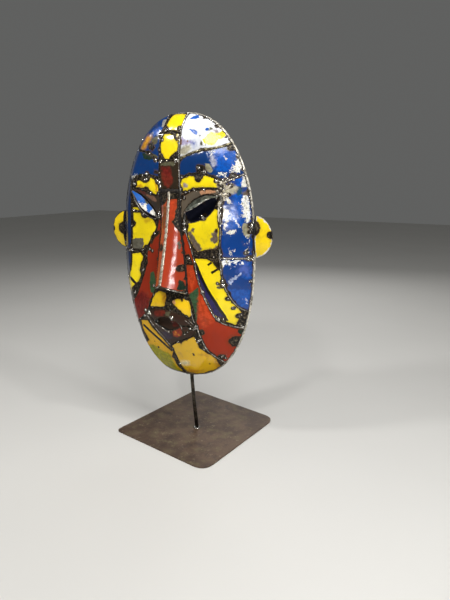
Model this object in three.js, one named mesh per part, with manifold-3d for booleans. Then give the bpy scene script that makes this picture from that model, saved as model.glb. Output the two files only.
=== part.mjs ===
// A face mask welded together from pieces of painted drum steel, on a leaning rod and a square base plate.
// Millimetres, +Z up. The face looks along -Y, and +X is at the viewer's right.
// The origin lies on the underside of the base plate, below the foot of the rod.
import * as THREE from 'three';
import { mergeVertices } from 'three/addons/utils/BufferGeometryUtils.js';
import Module from 'manifold-3d';

const wasm = await Module();
wasm.setup();

// Driving dimensions of the mask. On the mask u runs to the viewer's right, v up and w out of the face.
const MASK_HALF_WIDTH = 167;
const MASK_HALF_HEIGHT = 283;
const MASK_ROUNDNESS = 2.3;
const FACE_DEPTH = 50;
const FACE_DOME = 5;
const FACE_CROSS_CURVE = 0.1;
const SIDE_SLOPE = 1.0;
const SHOULDER_SOFTNESS = 6;
const SHEET = 1.2;
const SEAM_GAP = 0.4;
const TOUCH_GAP = 0.3;
const BACKING_GAP = 3;

// The lower face swells around the mouth, and the eyes sit in shallow hollows.
const MOUTH_SWELL = { rise: 15, v: -130, halfWidth: 75, halfHeight: 65 };
const EYE_HOLLOW = { drop: 5, u: 75, v: 98, halfWidth: 38, halfHeight: 24 };

// Where the mask hangs: the middle of its rim plane, above the underside of the plate.
const MASK_PLACE = { x: -14, y: -15, z: 427 };

// The nose is a wedge of two sheets: where its ridge starts and ends, its foot and its open lower end.
const NOSE_TOP = 128;
const NOSE_TIP = -62;
const NOSE_FOOT = -79;
const NOSE_HALF_WIDTH = 41;
const NOSE_TOP_DEPTH = 55;
const NOSE_TIP_DEPTH = 96;
const NOSE_RIDGE_SAG = 1.35;
const NOSE_SIDE_SWELL = 3.5;
const NOSE_RIDGE_GAP = 1.4;
const NOSE_FOOT_GAP = { across: 0.9, out: 1.1 };
const NOSE_FLOOR_GAP = 3.2;

// How far each upper eyelid droops over its eye, as a share of the eye's height, and how far it stands out.
const RIGHT_VISOR = { droop: 0.36, reach: 17 };
const LEFT_VISOR = { droop: 0.5, reach: 14 };
const VISOR_FOOT_LIFT = 1.9;
const VISOR_END_LIFT = 2.2;

// The ears are domed discs, cut straight a little past their middle.
const EAR_RADIUS = 43;
const EAR_CUT = 6;
const EAR_HEIGHT = 39;
const EAR_RISE = 7;
const EAR_SHEET = 1.6;
const EAR_DEPTH = -3.4;

// The bar round the back of the rim, and the stand.
const RIM_BAR_RADIUS = 3.2;
const RIM_BAR_INSET = 1;
const RIM_BAR_DEPTH = -(SHEET + TOUCH_GAP + RIM_BAR_RADIUS);
const ROD_RADIUS = 4.5;
const ROD_LEAN = 12;
const PLATE_THICKNESS = 3;

const COLOURS = {
  yellow: 0xe8c81e,
  blue: 0x1f4f9e,
  red: 0xa8402a,
  darkRed: 0x6e2b20,
  white: 0xdedfe0,
  lipBrown: 0x4a3a30,
  burntSteel: 0x4d463a,
  navy: 0x131c30,
  bareSteel: 0x8b8578,
  rust: 0x3f3029,
  blackSteel: 0x24211e,
};

function paintedSteel(colour) {
  return new THREE.MeshStandardMaterial({ color: colour, roughness: 0.35, metalness: 0.1 });
}

function bareMetal(colour) {
  return new THREE.MeshStandardMaterial({ color: colour, roughness: 0.6, metalness: 0.7 });
}

// The form of the face

function halfWidthAt(v) {
  const height = Math.min(1, Math.abs(v) / MASK_HALF_HEIGHT);
  return MASK_HALF_WIDTH * (1 - height ** MASK_ROUNDNESS) ** (1 / MASK_ROUNDNESS);
}

function softLesser(a, b, softness) {
  const mix = THREE.MathUtils.clamp(0.5 + (0.5 * (b - a)) / softness, 0, 1);
  return b * (1 - mix) + a * mix - softness * mix * (1 - mix);
}

function bump(u, v, centreU, centreV, halfWidth, halfHeight) {
  return Math.exp(-(((u - centreU) / halfWidth) ** 2) - ((v - centreV) / halfHeight) ** 2);
}

// How far the outer face stands in front of the rim plane at a place on the mask.
function faceDepth(u, v) {
  const halfWidth = halfWidthAt(v);
  const height = Math.min(1, Math.abs(v) / MASK_HALF_HEIGHT);
  const across = Math.min(1, Math.abs(u) / Math.max(halfWidth, 1));
  const swell = MOUTH_SWELL;
  const hollow = EYE_HOLLOW;
  let front = FACE_DEPTH * Math.sqrt(1 - height ** FACE_DOME) * (1 - FACE_CROSS_CURVE * across * across);
  front += swell.rise * bump(u, v, 0, swell.v, swell.halfWidth, swell.halfHeight);
  front -= hollow.drop * bump(Math.abs(u), v, hollow.u, hollow.v, hollow.halfWidth, hollow.halfHeight);
  const side = SIDE_SLOPE * Math.max(0, halfWidth - Math.abs(u));
  return Math.max(0, softLesser(side, front, SHOULDER_SOFTNESS));
}

function faceNormal(u, v) {
  const step = 0.5;
  const slopeU = (faceDepth(u + step, v) - faceDepth(u - step, v)) / (2 * step);
  const slopeV = (faceDepth(u, v + step) - faceDepth(u, v - step)) / (2 * step);
  return new THREE.Vector3(-slopeU, -slopeV, 1).normalize();
}

function facePoint(u, v, lift) {
  const point = new THREE.Vector3(u, v, faceDepth(u, v));
  return point.addScaledVector(faceNormal(u, v), lift);
}

// Turning geometry into solids that can be cut

function solidOf(geometry) {
  const bare = geometry.index ? geometry.clone() : geometry;
  bare.deleteAttribute('normal');
  bare.deleteAttribute('uv');
  const merged = mergeVertices(bare, 1e-4);
  const vertProperties = new Float32Array(merged.attributes.position.array);
  const triVerts = new Uint32Array(merged.index.array);
  return new wasm.Manifold(new wasm.Mesh({ numProp: 3, vertProperties, triVerts }));
}

function geometryOf(solid) {
  const mesh = solid.getMesh();
  const geometry = new THREE.BufferGeometry();
  geometry.setAttribute('position', new THREE.BufferAttribute(new Float32Array(mesh.vertProperties), 3));
  geometry.setIndex(new THREE.BufferAttribute(new Uint32Array(mesh.triVerts), 1));
  return geometry;
}

function moveVertices(geometry, place) {
  const positions = geometry.attributes.position;
  for (let i = 0; i < positions.count; i += 1) {
    const from = new THREE.Vector3().fromBufferAttribute(positions, i);
    const to = place(from);
    positions.setXYZ(i, to.x, to.y, to.z);
  }
  return geometry;
}

// A place on the rim's outline, by its angle round the middle of the mask.
function rimPoint(angle, inset) {
  const power = 2 / MASK_ROUNDNESS;
  const u = Math.sign(Math.cos(angle)) * Math.abs(Math.cos(angle)) ** power;
  const v = Math.sign(Math.sin(angle)) * Math.abs(Math.sin(angle)) ** power;
  return new THREE.Vector2(u * (MASK_HALF_WIDTH - inset), v * (MASK_HALF_HEIGHT - inset));
}

// The whole face as one sheet: a lathed disc of two layers, pressed onto the form. Its outer rings keep a set
// distance from the rim, so that two of them run along the shoulder, and the inner ones share out the rest.
function faceSheet() {
  const spokes = 48;
  const insets = [0, 8, 26, 42, 51];
  const innerRings = 5;
  const shoulder = insets[insets.length - 1];
  const rings = insets.map((inset) => ({ inset, share: 1 }));
  for (let i = innerRings - 1; i >= 0; i -= 1) {
    rings.push({ inset: shoulder, share: i / innerRings });
  }
  const last = rings.length - 1;
  const profile = [];
  for (let i = last; i >= 0; i -= 1) {
    profile.push(new THREE.Vector2(1 - i / last, 0));
  }
  for (let i = 0; i <= last; i += 1) {
    profile.push(new THREE.Vector2(1 - i / last, 1));
  }
  const disc = new THREE.LatheGeometry(profile, spokes);
  return solidOf(
    moveVertices(disc, (point) => {
      const radius = Math.hypot(point.x, point.z);
      const ring = rings[Math.round((1 - radius) * last)];
      const rim = rimPoint(Math.atan2(-point.z, point.x), 0);
      const reach = rim.length();
      const share = (ring.share * (reach - ring.inset)) / reach;
      return facePoint(rim.x * share, rim.y * share, point.y < 0.5 ? -SHEET : 0);
    }),
  );
}

// Seams, as smooth lines through a few places (u, v) on the face. One that reaches the rim runs on past it.
const SEAM_STEP = 16;
const STRAIGHT_SEAM_STEP = 40;

const SEAMS = {
  crownLeftHigh: [[-20, 300], [-22, 265], [-26, 241]],
  crownLeftLow: [[-26, 241], [-29, 214], [-27, 187]],
  crownRightHigh: [[24, 300], [19, 240]],
  crownRightLow: [[19, 240], [20, 190]],
  crownMiddle: [[-26, 241], [-6, 246], [19, 240]],
  glabellaTop: [[-27, 187], [20, 190]],
  whiteFoot: [[20, 190], [50, 202], [79, 208], [103, 214], [140, 236]],
  blueTopLeft: [[-27, 187], [-47, 197], [-60, 208], [-80, 209], [-140, 236]],
  glabellaRight: [[20, 190], [22, 154]],
  glabellaRightLow: [[22, 154], [24, 128]],
  glabellaLeft: [[-27, 187], [-29, 154]],
  glabellaLeftLow: [[-29, 154], [-29, 128]],
  glabellaFoot: [[-29, 128], [24, 128]],
  blueFootRight: [[22, 154], [44, 160], [72, 163], [100, 156], [118, 146]],
  blueFootLeft: [[-29, 154], [-60, 160], [-88, 155], [-112, 146]],
  blueSideRight: [[118, 146], [145, 162], [170, 176]],
  blueSideLeft: [[-112, 146], [-145, 160], [-170, 172]],
  browEndRight: [[118, 146], [115, 133]],
  browEndLeft: [[-112, 146], [-107, 134]],
  browFootRight: [[24, 128], [34, 125], [53, 131], [84, 134], [115, 133]],
  browFootLeft: [[-29, 128], [-34, 119], [-46, 120], [-60, 126], [-84, 132], [-107, 134]],
  eyeTopRight: [[32, 74], [40, 98], [60, 113], [84, 122], [115, 119]],
  eyeTopLeft: [[-33, 74], [-42, 88], [-63, 107], [-80, 121], [-103, 129]],
  eyeFootRight: [[32, 74], [46, 67], [66, 72], [90, 84], [115, 119]],
  eyeFootLeft: [[-33, 74], [-46, 71], [-70, 82], [-92, 97], [-103, 129]],
  lidEndRight: [[115, 133], [115, 119]],
  lidEndLeft: [[-107, 134], [-103, 129]],
  noseRootRight: [[24, 128], [23, 100], [23, 74]],
  noseRootLeft: [[-29, 128], [-25, 100], [-24, 74]],
  lidFootRight: [[23, 74], [32, 74]],
  lidFootLeft: [[-24, 74], [-33, 74]],
  noseSideRight: [[23, 74], [24, 48], [30, 12], [35, -30], [NOSE_HALF_WIDTH, NOSE_FOOT]],
  noseSideLeft: [[-24, 74], [-25, 48], [-31, 12], [-36, -30], [-NOSE_HALF_WIDTH, NOSE_FOOT]],
  noseFloorLeft: [[-NOSE_HALF_WIDTH, NOSE_FOOT], [3, NOSE_FOOT - 2]],
  noseFloorRight: [[3, NOSE_FOOT - 2], [NOSE_HALF_WIDTH, NOSE_FOOT]],
  cheekNoseRight: [[32, 74], [36, 48], [53, -1]],
  cheekNoseLeft: [[-33, 74], [-38, 50], [-55, 24], [-66, 0]],
  cheekFloorRight: [[53, -1], [86, 0], [115, -1]],
  cheekFloorLeft: [[-66, 0], [-90, 3], [-111, 0]],
  sideRight: [[115, 119], [116, 54], [115, -1]],
  sideLeft: [[-103, 129], [-107, 91], [-107, 45], [-111, 0]],
  sideFloorRight: [[115, -1], [140, -3], [190, -6]],
  sideFloorLeft: [[-111, 0], [-140, -2], [-190, -4]],
  leafRight: [[115, -1], [119, -37], [127, -73], [146, -109], [185, -128]],
  leafLeft: [[-111, 0], [-112, -24], [-121, -50], [-190, -92]],
  bandRight: [[53, -1], [61, -35], [69, -60], [85, -94], [113, -136], [135, -149], [190, -168]],
  bandLeft: [[-66, 0], [-72, -36], [-88, -75], [-108, -108], [-180, -155]],
  lipSideRight: [[NOSE_HALF_WIDTH, NOSE_FOOT], [54, -106], [59, -130], [64, -148]],
  lipSideLeft: [[-NOSE_HALF_WIDTH, NOSE_FOOT], [-52, -104], [-69, -137]],
  philtrum: [[3, NOSE_FOOT - 2], [3, -119]],
  mouthTopLeft: [[-69, -137], [-46, -121], [-18, -117], [3, -119]],
  mouthTopRight: [[3, -119], [27, -123], [46, -132], [64, -148]],
  mouthFootRight: [[64, -148], [60, -162], [45, -176], [12, -191], [-9, -204]],
  mouthFootLeft: [[-69, -137], [-40, -168], [-9, -204]],
  chinLeft: [[-9, -204], [2, -240], [10, -300]],
  jawLeft: [[-69, -137], [-100, -160], [-175, -200]],
  jawRight: [[64, -148], [67, -163], [78, -192], [105, -244], [130, -270]],
};

// The mouth: an opening between the lips, with the lip line drawn to its corners.
const MOUTH_OPENING = { left: -42, right: 28, v: -150, up: 14, down: 14 };
const LIP_SWELL = { rise: 7, halfWidth: 48, halfHeight: 24 };

function splineOf(places) {
  return new THREE.SplineCurve(places.map(([u, v]) => new THREE.Vector2(u, v)));
}

function sampled(places) {
  const line = splineOf(places);
  const step = places.length === 2 ? STRAIGHT_SEAM_STEP : SEAM_STEP;
  return line.getSpacedPoints(Math.ceil(line.getLength() / step));
}

// Joins seams, and loose corners outside the rim, end to end into one closed outline.
function outlineOf(parts) {
  const runs = parts.map((part) => {
    const isSeam = typeof part === 'string';
    return isSeam ? sampled(SEAMS[part]) : [new THREE.Vector2(...part)];
  });
  const closest = (end, run) => Math.min(end.distanceTo(run[0]), end.distanceTo(run[run.length - 1]));
  if (closest(runs[0][0], runs[1]) < closest(runs[0][runs[0].length - 1], runs[1])) {
    runs[0].reverse();
  }
  const outline = [...runs[0]];
  runs.slice(1).forEach((run) => {
    const end = outline[outline.length - 1];
    if (end.distanceTo(run[run.length - 1]) < end.distanceTo(run[0])) {
      run.reverse();
    }
    outline.push(...run);
  });
  return tidyOutline(outline);
}

function tidyOutline(points) {
  const kept = points.filter((point, i) => point.distanceTo(points[(i + 1) % points.length]) > 0.5);
  return THREE.ShapeUtils.isClockWise(kept) ? kept.reverse() : kept;
}

// Draws a counter-clockwise outline inwards by the same width all round, and by less at its sharpest corners.
const SHARPEST_CORNER = 0.35;

function shrunk(points, width) {
  const count = points.length;
  return points.map((point, i) => {
    const before = point.clone().sub(points[(i + count - 1) % count]).normalize();
    const after = points[(i + 1) % count].clone().sub(point).normalize();
    const inward = new THREE.Vector2(-(before.y + after.y), before.x + after.x).normalize();
    const cosine = Math.max(SHARPEST_CORNER, inward.dot(new THREE.Vector2(-after.y, after.x)));
    return point.clone().addScaledVector(inward, width / cosine);
  });
}

const wholeFace = faceSheet();

// Cuts a panel out of the face with a block that runs right through it.
function cutFromFace(outline) {
  const from = -FACE_DEPTH;
  const depth = 3 * FACE_DEPTH;
  const shape = new THREE.Shape(shrunk(outline, SEAM_GAP));
  const block = new THREE.ExtrudeGeometry(shape, { depth, bevelEnabled: false });
  block.translate(0, 0, from);
  return geometryOf(wholeFace.intersect(solidOf(block)));
}

// A bent sheet: place(s, t) gives its outer face for s and t from 0 to 1, and the sheet lies below it.
function bentSheet(place, alongSteps, acrossSteps, thickness) {
  const slab = new THREE.BoxGeometry(1, 1, 1, alongSteps, acrossSteps, 1);
  slab.deleteAttribute('normal');
  slab.deleteAttribute('uv');
  const sheet = mergeVertices(slab, 1e-4);
  const step = 0.01;
  return moveVertices(sheet, ({ x, y, z }) => {
    const s = x + 0.5;
    const t = y + 0.5;
    const point = place(s, t);
    if (z > 0) {
      return point;
    }
    const along = place(Math.min(1, s + step), t).sub(place(Math.max(0, s - step), t));
    const across = place(s, Math.min(1, t + step)).sub(place(s, Math.max(0, t - step)));
    const normal = along.cross(across).normalize();
    return point.addScaledVector(normal, -thickness);
  });
}

// One side of the nose, from the ridge down to its foot. side is 1 at the viewer's right and -1 at the left.
function noseSide(side) {
  const root = side > 0 ? SEAMS.noseRootRight : SEAMS.noseRootLeft;
  const cheek = side > 0 ? SEAMS.noseSideRight : SEAMS.noseSideLeft;
  const footLine = splineOf([...root, ...cheek.slice(1)]);
  const place = (s, t) => {
    const foot = footLine.getPoint(s);
    const footPoint = facePoint(foot.x, foot.y, 0);
    footPoint.x -= side * NOSE_FOOT_GAP.across;
    footPoint.z += NOSE_FOOT_GAP.out;
    const ridgeV = THREE.MathUtils.lerp(NOSE_TOP, NOSE_TIP, s);
    const ridgeDepth = THREE.MathUtils.lerp(NOSE_TOP_DEPTH, NOSE_TIP_DEPTH, s ** NOSE_RIDGE_SAG);
    const ridge = new THREE.Vector3(side * NOSE_RIDGE_GAP, ridgeV, ridgeDepth);
    const point = ridge.lerp(footPoint, t);
    const swell = NOSE_SIDE_SWELL * Math.sin(Math.PI * t) * (0.25 + 0.75 * s);
    point.x += side * swell;
    point.z += swell;
    return point;
  };
  const mirrored = (s, t) => place(s, 1 - t);
  return bentSheet(side > 0 ? place : mirrored, 10, 4, SHEET);
}

// A flat plate through three or more places on the mask, its outer face on them and its thickness behind.
function flatPlate(corners, thickness) {
  const origin = corners[0];
  const xAxis = corners[1].clone().sub(origin).normalize();
  const normal = xAxis.clone().cross(corners[2].clone().sub(origin)).normalize();
  const yAxis = normal.clone().cross(xAxis);
  const flat = corners.map((corner) => {
    const offset = corner.clone().sub(origin);
    return new THREE.Vector2(offset.dot(xAxis), offset.dot(yAxis));
  });
  const shape = new THREE.Shape(flat);
  const plate = new THREE.ExtrudeGeometry(shape, { depth: thickness, bevelEnabled: false });
  plate.translate(0, 0, -thickness);
  plate.applyMatrix4(new THREE.Matrix4().makeBasis(xAxis, yAxis, normal).setPosition(origin));
  return plate;
}

// The plate that closes the nose below. It keeps clear of the two sides all round.
function noseUnderside() {
  const inset = NOSE_FLOOR_GAP;
  const halfWidth = NOSE_HALF_WIDTH - inset;
  const foot = faceDepth(NOSE_HALF_WIDTH, NOSE_FOOT) + inset - 2 * TOUCH_GAP;
  const tip = new THREE.Vector3(0, NOSE_TIP - TOUCH_GAP, NOSE_TIP_DEPTH - 1.4 * inset);
  const right = new THREE.Vector3(halfWidth, NOSE_FOOT + TOUCH_GAP, foot);
  const left = new THREE.Vector3(-halfWidth, NOSE_FOOT + TOUCH_GAP, foot);
  return flatPlate([tip, left, right], SHEET);
}

function eyeLines(side) {
  const top = splineOf(side > 0 ? SEAMS.eyeTopRight : SEAMS.eyeTopLeft);
  const foot = splineOf(side > 0 ? SEAMS.eyeFootRight : SEAMS.eyeFootLeft);
  return { top, foot };
}

// An upper eyelid: it leaves the face at the top of the eye and stands out over it like the peak of a cap.
function eyeVisor(side) {
  const { top, foot } = eyeLines(side);
  const { droop, reach } = side > 0 ? RIGHT_VISOR : LEFT_VISOR;
  const endGap = 0.04;
  const topGap = 0.03;
  const place = (s, t) => {
    const along = THREE.MathUtils.lerp(endGap, 1 - endGap, s);
    const fullness = Math.sin(Math.PI * s) ** 0.8;
    const spot = top.getPoint(along).lerp(foot.getPoint(along), t * droop * fullness + topGap);
    const peak = reach * fullness * Math.sin((Math.PI / 2) * t);
    const point = facePoint(spot.x, spot.y, 0);
    point.z += VISOR_FOOT_LIFT + peak + VISOR_END_LIFT * t * (1 - fullness);
    point.y -= SHEET * t;
    return point;
  };
  const mirrored = (s, t) => place(s, 1 - t);
  return bentSheet(side > 0 ? mirrored : place, 10, 4, SHEET);
}

// A dished plate welded behind an opening, larger than it by the overlap above and below.
function backingPlate(edgeAt, steps, depth, overlap) {
  const endGap = 0.02;
  const place = (s, t) => {
    const { up, low } = edgeAt(THREE.MathUtils.lerp(endGap, 1 - endGap, s));
    const centre = up.clone().lerp(low, 0.5);
    const span = up.clone().sub(low);
    const length = span.length() + overlap * 2;
    const spot = centre.addScaledVector(span.normalize(), length * (t - 0.5));
    const point = facePoint(spot.x, spot.y, -SHEET - BACKING_GAP);
    point.z -= depth * Math.sin(Math.PI * s) * Math.sin(Math.PI * t);
    return point;
  };
  return bentSheet(place, steps, 4, SHEET);
}

function eyePlate(side) {
  const { top, foot } = eyeLines(side);
  const edgeAt = (s) => {
    const along = side > 0 ? s : 1 - s;
    return { up: top.getPoint(along), low: foot.getPoint(along) };
  };
  return backingPlate(edgeAt, 7, 9, 3);
}

// The lip line and the opening in it

function mouthEdge(s, isTop) {
  const { left, right, v, up, down } = MOUTH_OPENING;
  const u = THREE.MathUtils.lerp(left, right, s);
  return new THREE.Vector2(u, v + (isTop ? up : -down) * Math.sin(Math.PI * s) ** 0.75);
}

function mouthEdgeLine(isTop) {
  const steps = 8;
  return Array.from({ length: steps + 1 }, (_, i) => mouthEdge(i / steps, isTop));
}

function lip(isTop) {
  const outer = isTop
    ? [...sampled(SEAMS.mouthTopLeft), ...sampled(SEAMS.mouthTopRight)]
    : [...sampled(SEAMS.mouthFootLeft), ...sampled(SEAMS.mouthFootRight).reverse()];
  const inner = mouthEdgeLine(isTop).reverse();
  const { left, right, v } = MOUTH_OPENING;
  const { rise, halfWidth, halfHeight } = LIP_SWELL;
  const middle = (left + right) / 2;
  return moveVertices(cutFromFace(tidyOutline([...outer, ...inner])), (point) => {
    point.z += rise * bump(point.x, point.y, middle, v, halfWidth, halfHeight);
    return point;
  });
}

function mouthPlate() {
  return backingPlate((s) => ({ up: mouthEdge(s, true), low: mouthEdge(s, false) }), 8, 7, 3);
}

// An ear: a disc hammered to a low dome, cut straight and welded to the rim bar along the cut.
function ear(side) {
  const steps = 5;
  const domeAt = (radius) => EAR_RISE * (1 - (radius / EAR_RADIUS) ** 2);
  const radii = Array.from({ length: steps + 1 }, (_, i) => (EAR_RADIUS * i) / steps);
  const back = radii.map((radius) => new THREE.Vector2(radius, domeAt(radius) - EAR_SHEET));
  const front = radii.map((radius) => new THREE.Vector2(radius, domeAt(radius)));
  const disc = new THREE.LatheGeometry([...back, ...front.reverse()], 26);
  disc.rotateX(Math.PI / 2);
  const keep = new THREE.BoxGeometry(EAR_RADIUS * 2, EAR_RADIUS * 3, EAR_RADIUS);
  keep.translate(side * (EAR_RADIUS + EAR_CUT), 0, 0);
  const cutDisc = geometryOf(solidOf(disc).intersect(solidOf(keep)));
  const edge = MASK_HALF_WIDTH - RIM_BAR_INSET + RIM_BAR_RADIUS + TOUCH_GAP;
  cutDisc.translate(side * (edge - EAR_CUT), EAR_HEIGHT, EAR_DEPTH);
  return cutDisc;
}

// Round bars

function roundBar(path, radius, steps, sides) {
  const section = new THREE.Shape();
  section.absarc(0, 0, radius, 0, Math.PI * 2, false);
  return new THREE.ExtrudeGeometry(section, {
    steps, bevelEnabled: false, extrudePath: path, curveSegments: sides,
  });
}

// The rim bar: one bar bent all round the open back. A unit ring is swept onto the rim's outline.
function rimBar() {
  const steps = 56;
  const sides = 6;
  const tube = 0.1;
  const turn = 0.02;
  const ring = new THREE.TorusGeometry(1, tube, sides, steps);
  return moveVertices(ring, (point) => {
    const angle = Math.atan2(point.y, point.x);
    const centre = rimPoint(angle, RIM_BAR_INSET);
    const ahead = rimPoint(angle + turn, RIM_BAR_INSET);
    const behind = rimPoint(angle - turn, RIM_BAR_INSET);
    const along = ahead.sub(behind).normalize();
    const outward = new THREE.Vector2(along.y, -along.x);
    const across = (Math.hypot(point.x, point.y) - 1) / tube;
    centre.addScaledVector(outward, across * RIM_BAR_RADIUS);
    return new THREE.Vector3(centre.x, centre.y, RIM_BAR_DEPTH + (point.z / tube) * RIM_BAR_RADIUS);
  });
}

// The stand

const PLATE_CORNERS = [
  { x: -157, y: -106, round: 12 },
  { x: 113, y: -147, round: 32 },
  { x: 141, y: 134, round: 30 },
  { x: -122, y: 180, round: 18 },
];

function basePlate() {
  const shape = new THREE.Shape();
  const count = PLATE_CORNERS.length;
  PLATE_CORNERS.forEach((corner, i) => {
    const here = new THREE.Vector2(corner.x, corner.y);
    const before = PLATE_CORNERS[(i + count - 1) % count];
    const after = PLATE_CORNERS[(i + 1) % count];
    const into = new THREE.Vector2(before.x, before.y).sub(here).setLength(corner.round).add(here);
    const out = new THREE.Vector2(after.x, after.y).sub(here).setLength(corner.round).add(here);
    if (i === 0) {
      shape.moveTo(into.x, into.y);
    } else {
      shape.lineTo(into.x, into.y);
    }
    shape.quadraticCurveTo(here.x, here.y, out.x, out.y);
  });
  shape.closePath();
  const depth = PLATE_THICKNESS;
  return new THREE.ExtrudeGeometry(shape, { depth, bevelEnabled: false, curveSegments: 6 });
}

// The rod leans back from its foot to the rim bar at the chin, and runs on up behind the bar to the crown.
function standRod() {
  const clear = MASK_PLACE.y - RIM_BAR_DEPTH + RIM_BAR_RADIUS + TOUCH_GAP + ROD_RADIUS;
  const chin = new THREE.Vector3(-ROD_LEAN, clear, MASK_PLACE.z - MASK_HALF_HEIGHT);
  const endTilt = (ROD_RADIUS * Math.hypot(chin.x, chin.y)) / chin.z;
  const foot = new THREE.Vector3(0, 0, PLATE_THICKNESS + TOUCH_GAP + endTilt);
  const crown = new THREE.Vector3(MASK_PLACE.x, clear, MASK_PLACE.z + MASK_HALF_HEIGHT - 2);
  const path = new THREE.CatmullRomCurve3([foot, chin, crown], false, 'centripetal');
  return roundBar(path, ROD_RADIUS, 8, 5);
}

// Assembly

const object = new THREE.Group();
const mask = new THREE.Group();
mask.position.set(MASK_PLACE.x, MASK_PLACE.y, MASK_PLACE.z);
mask.rotation.x = Math.PI / 2;
object.add(mask);

function add(group, name, geometry, material) {
  const mesh = new THREE.Mesh(geometry, material);
  mesh.name = name;
  group.add(mesh);
}

// Each panel of the face: its name, its paint and the seams, or corners outside the rim, that bound it.
const PANELS = [
  ['crown_yellow_upper', 'yellow', ['crownLeftHigh', 'crownMiddle', 'crownRightHigh']],
  ['crown_yellow_lower', 'yellow', ['crownLeftLow', 'glabellaTop', 'crownRightLow', 'crownMiddle']],
  ['forehead_white', 'white', ['crownRightHigh', 'crownRightLow', 'whiteFoot', [110, 290]]],
  ['forehead_blue', 'blue', ['crownLeftHigh', 'crownLeftLow', 'blueTopLeft', [-110, 290]]],
  ['brow_blue_right', 'blue', ['whiteFoot', 'glabellaRight', 'blueFootRight', 'blueSideRight']],
  ['brow_blue_left', 'blue', ['blueTopLeft', 'glabellaLeft', 'blueFootLeft', 'blueSideLeft']],
  ['glabella_red', 'darkRed', ['glabellaTop', 'glabellaRight', 'glabellaRightLow', 'glabellaFoot',
    'glabellaLeftLow', 'glabellaLeft']],
  ['brow_yellow_right', 'yellow', ['glabellaRightLow', 'browFootRight', 'browEndRight', 'blueFootRight']],
  ['brow_yellow_left', 'yellow', ['glabellaLeftLow', 'browFootLeft', 'browEndLeft', 'blueFootLeft']],
  ['eyelid_strip_right', 'burntSteel', ['browFootRight', 'lidEndRight', 'eyeTopRight', 'lidFootRight',
    'noseRootRight']],
  ['eyelid_strip_left', 'burntSteel', ['browFootLeft', 'lidEndLeft', 'eyeTopLeft', 'lidFootLeft',
    'noseRootLeft']],
  ['cheek_yellow_right', 'yellow', ['eyeFootRight', 'sideRight', 'cheekFloorRight', 'cheekNoseRight']],
  ['cheek_yellow_left', 'yellow', ['eyeFootLeft', 'sideLeft', 'cheekFloorLeft', 'cheekNoseLeft']],
  ['side_blue_right', 'blue', ['browEndRight', 'lidEndRight', 'sideRight', 'sideFloorRight', [185, 110],
    'blueSideRight']],
  ['side_blue_left', 'blue', ['browEndLeft', 'lidEndLeft', 'sideLeft', 'sideFloorLeft', [-185, 110],
    'blueSideLeft']],
  ['jaw_blue_right', 'blue', ['leafRight', [195, -70], 'sideFloorRight']],
  ['jaw_blue_left', 'blue', ['leafLeft', [-195, -70], 'sideFloorLeft']],
  ['cheek_band_yellow_right', 'yellow', ['cheekFloorRight', 'leafRight', 'bandRight']],
  ['cheek_band_yellow_left', 'yellow', ['cheekFloorLeft', 'leafLeft', 'bandLeft']],
  ['face_red_right', 'red', ['lidFootRight', 'cheekNoseRight', 'bandRight', 'jawRight', 'lipSideRight',
    'noseSideRight']],
  ['face_red_left', 'red', ['lidFootLeft', 'cheekNoseLeft', 'bandLeft', 'jawLeft', 'lipSideLeft',
    'noseSideLeft']],
  ['upper_lip_yellow_right', 'yellow', ['noseFloorRight', 'lipSideRight', 'mouthTopRight', 'philtrum']],
  ['upper_lip_yellow_left', 'yellow', ['noseFloorLeft', 'philtrum', 'mouthTopLeft', 'lipSideLeft']],
  ['chin_yellow', 'yellow', ['mouthFootRight', 'chinLeft', [100, -290], 'jawRight']],
  ['chin_strip_left', 'yellow', ['mouthFootLeft', 'chinLeft', [-100, -290], 'jawLeft']],
];

PANELS.forEach(([name, colour, seams]) => {
  add(mask, name, cutFromFace(outlineOf(seams)), paintedSteel(COLOURS[colour]));
});
add(mask, 'nose_right', noseSide(1), paintedSteel(COLOURS.red));
add(mask, 'nose_left', noseSide(-1), paintedSteel(COLOURS.darkRed));
add(mask, 'nose_underside', noseUnderside(), bareMetal(COLOURS.burntSteel));
add(mask, 'eye_visor_right', eyeVisor(1), bareMetal(COLOURS.bareSteel));
add(mask, 'eye_visor_left', eyeVisor(-1), paintedSteel(COLOURS.blue));
add(mask, 'eye_plate_right', eyePlate(1), paintedSteel(COLOURS.navy));
add(mask, 'eye_plate_left', eyePlate(-1), paintedSteel(COLOURS.navy));
add(mask, 'lip_upper', lip(true), paintedSteel(COLOURS.lipBrown));
add(mask, 'lip_lower', lip(false), paintedSteel(COLOURS.lipBrown));
add(mask, 'mouth_plate', mouthPlate(), bareMetal(COLOURS.burntSteel));
add(mask, 'ear_right', ear(1), paintedSteel(COLOURS.yellow));
add(mask, 'ear_left', ear(-1), paintedSteel(COLOURS.yellow));
add(mask, 'rim_bar', rimBar(), bareMetal(COLOURS.bareSteel));
add(object, 'stand_rod', standRod(), bareMetal(COLOURS.blackSteel));
add(object, 'base_plate', basePlate(), bareMetal(COLOURS.rust));

export default object;
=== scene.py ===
import math
import random
from functools import partial

import bmesh
import bpy
import numpy as np
from mathutils import Matrix, Vector, kdtree, noise
from mathutils.geometry import delaunay_2d_cdt


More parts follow.
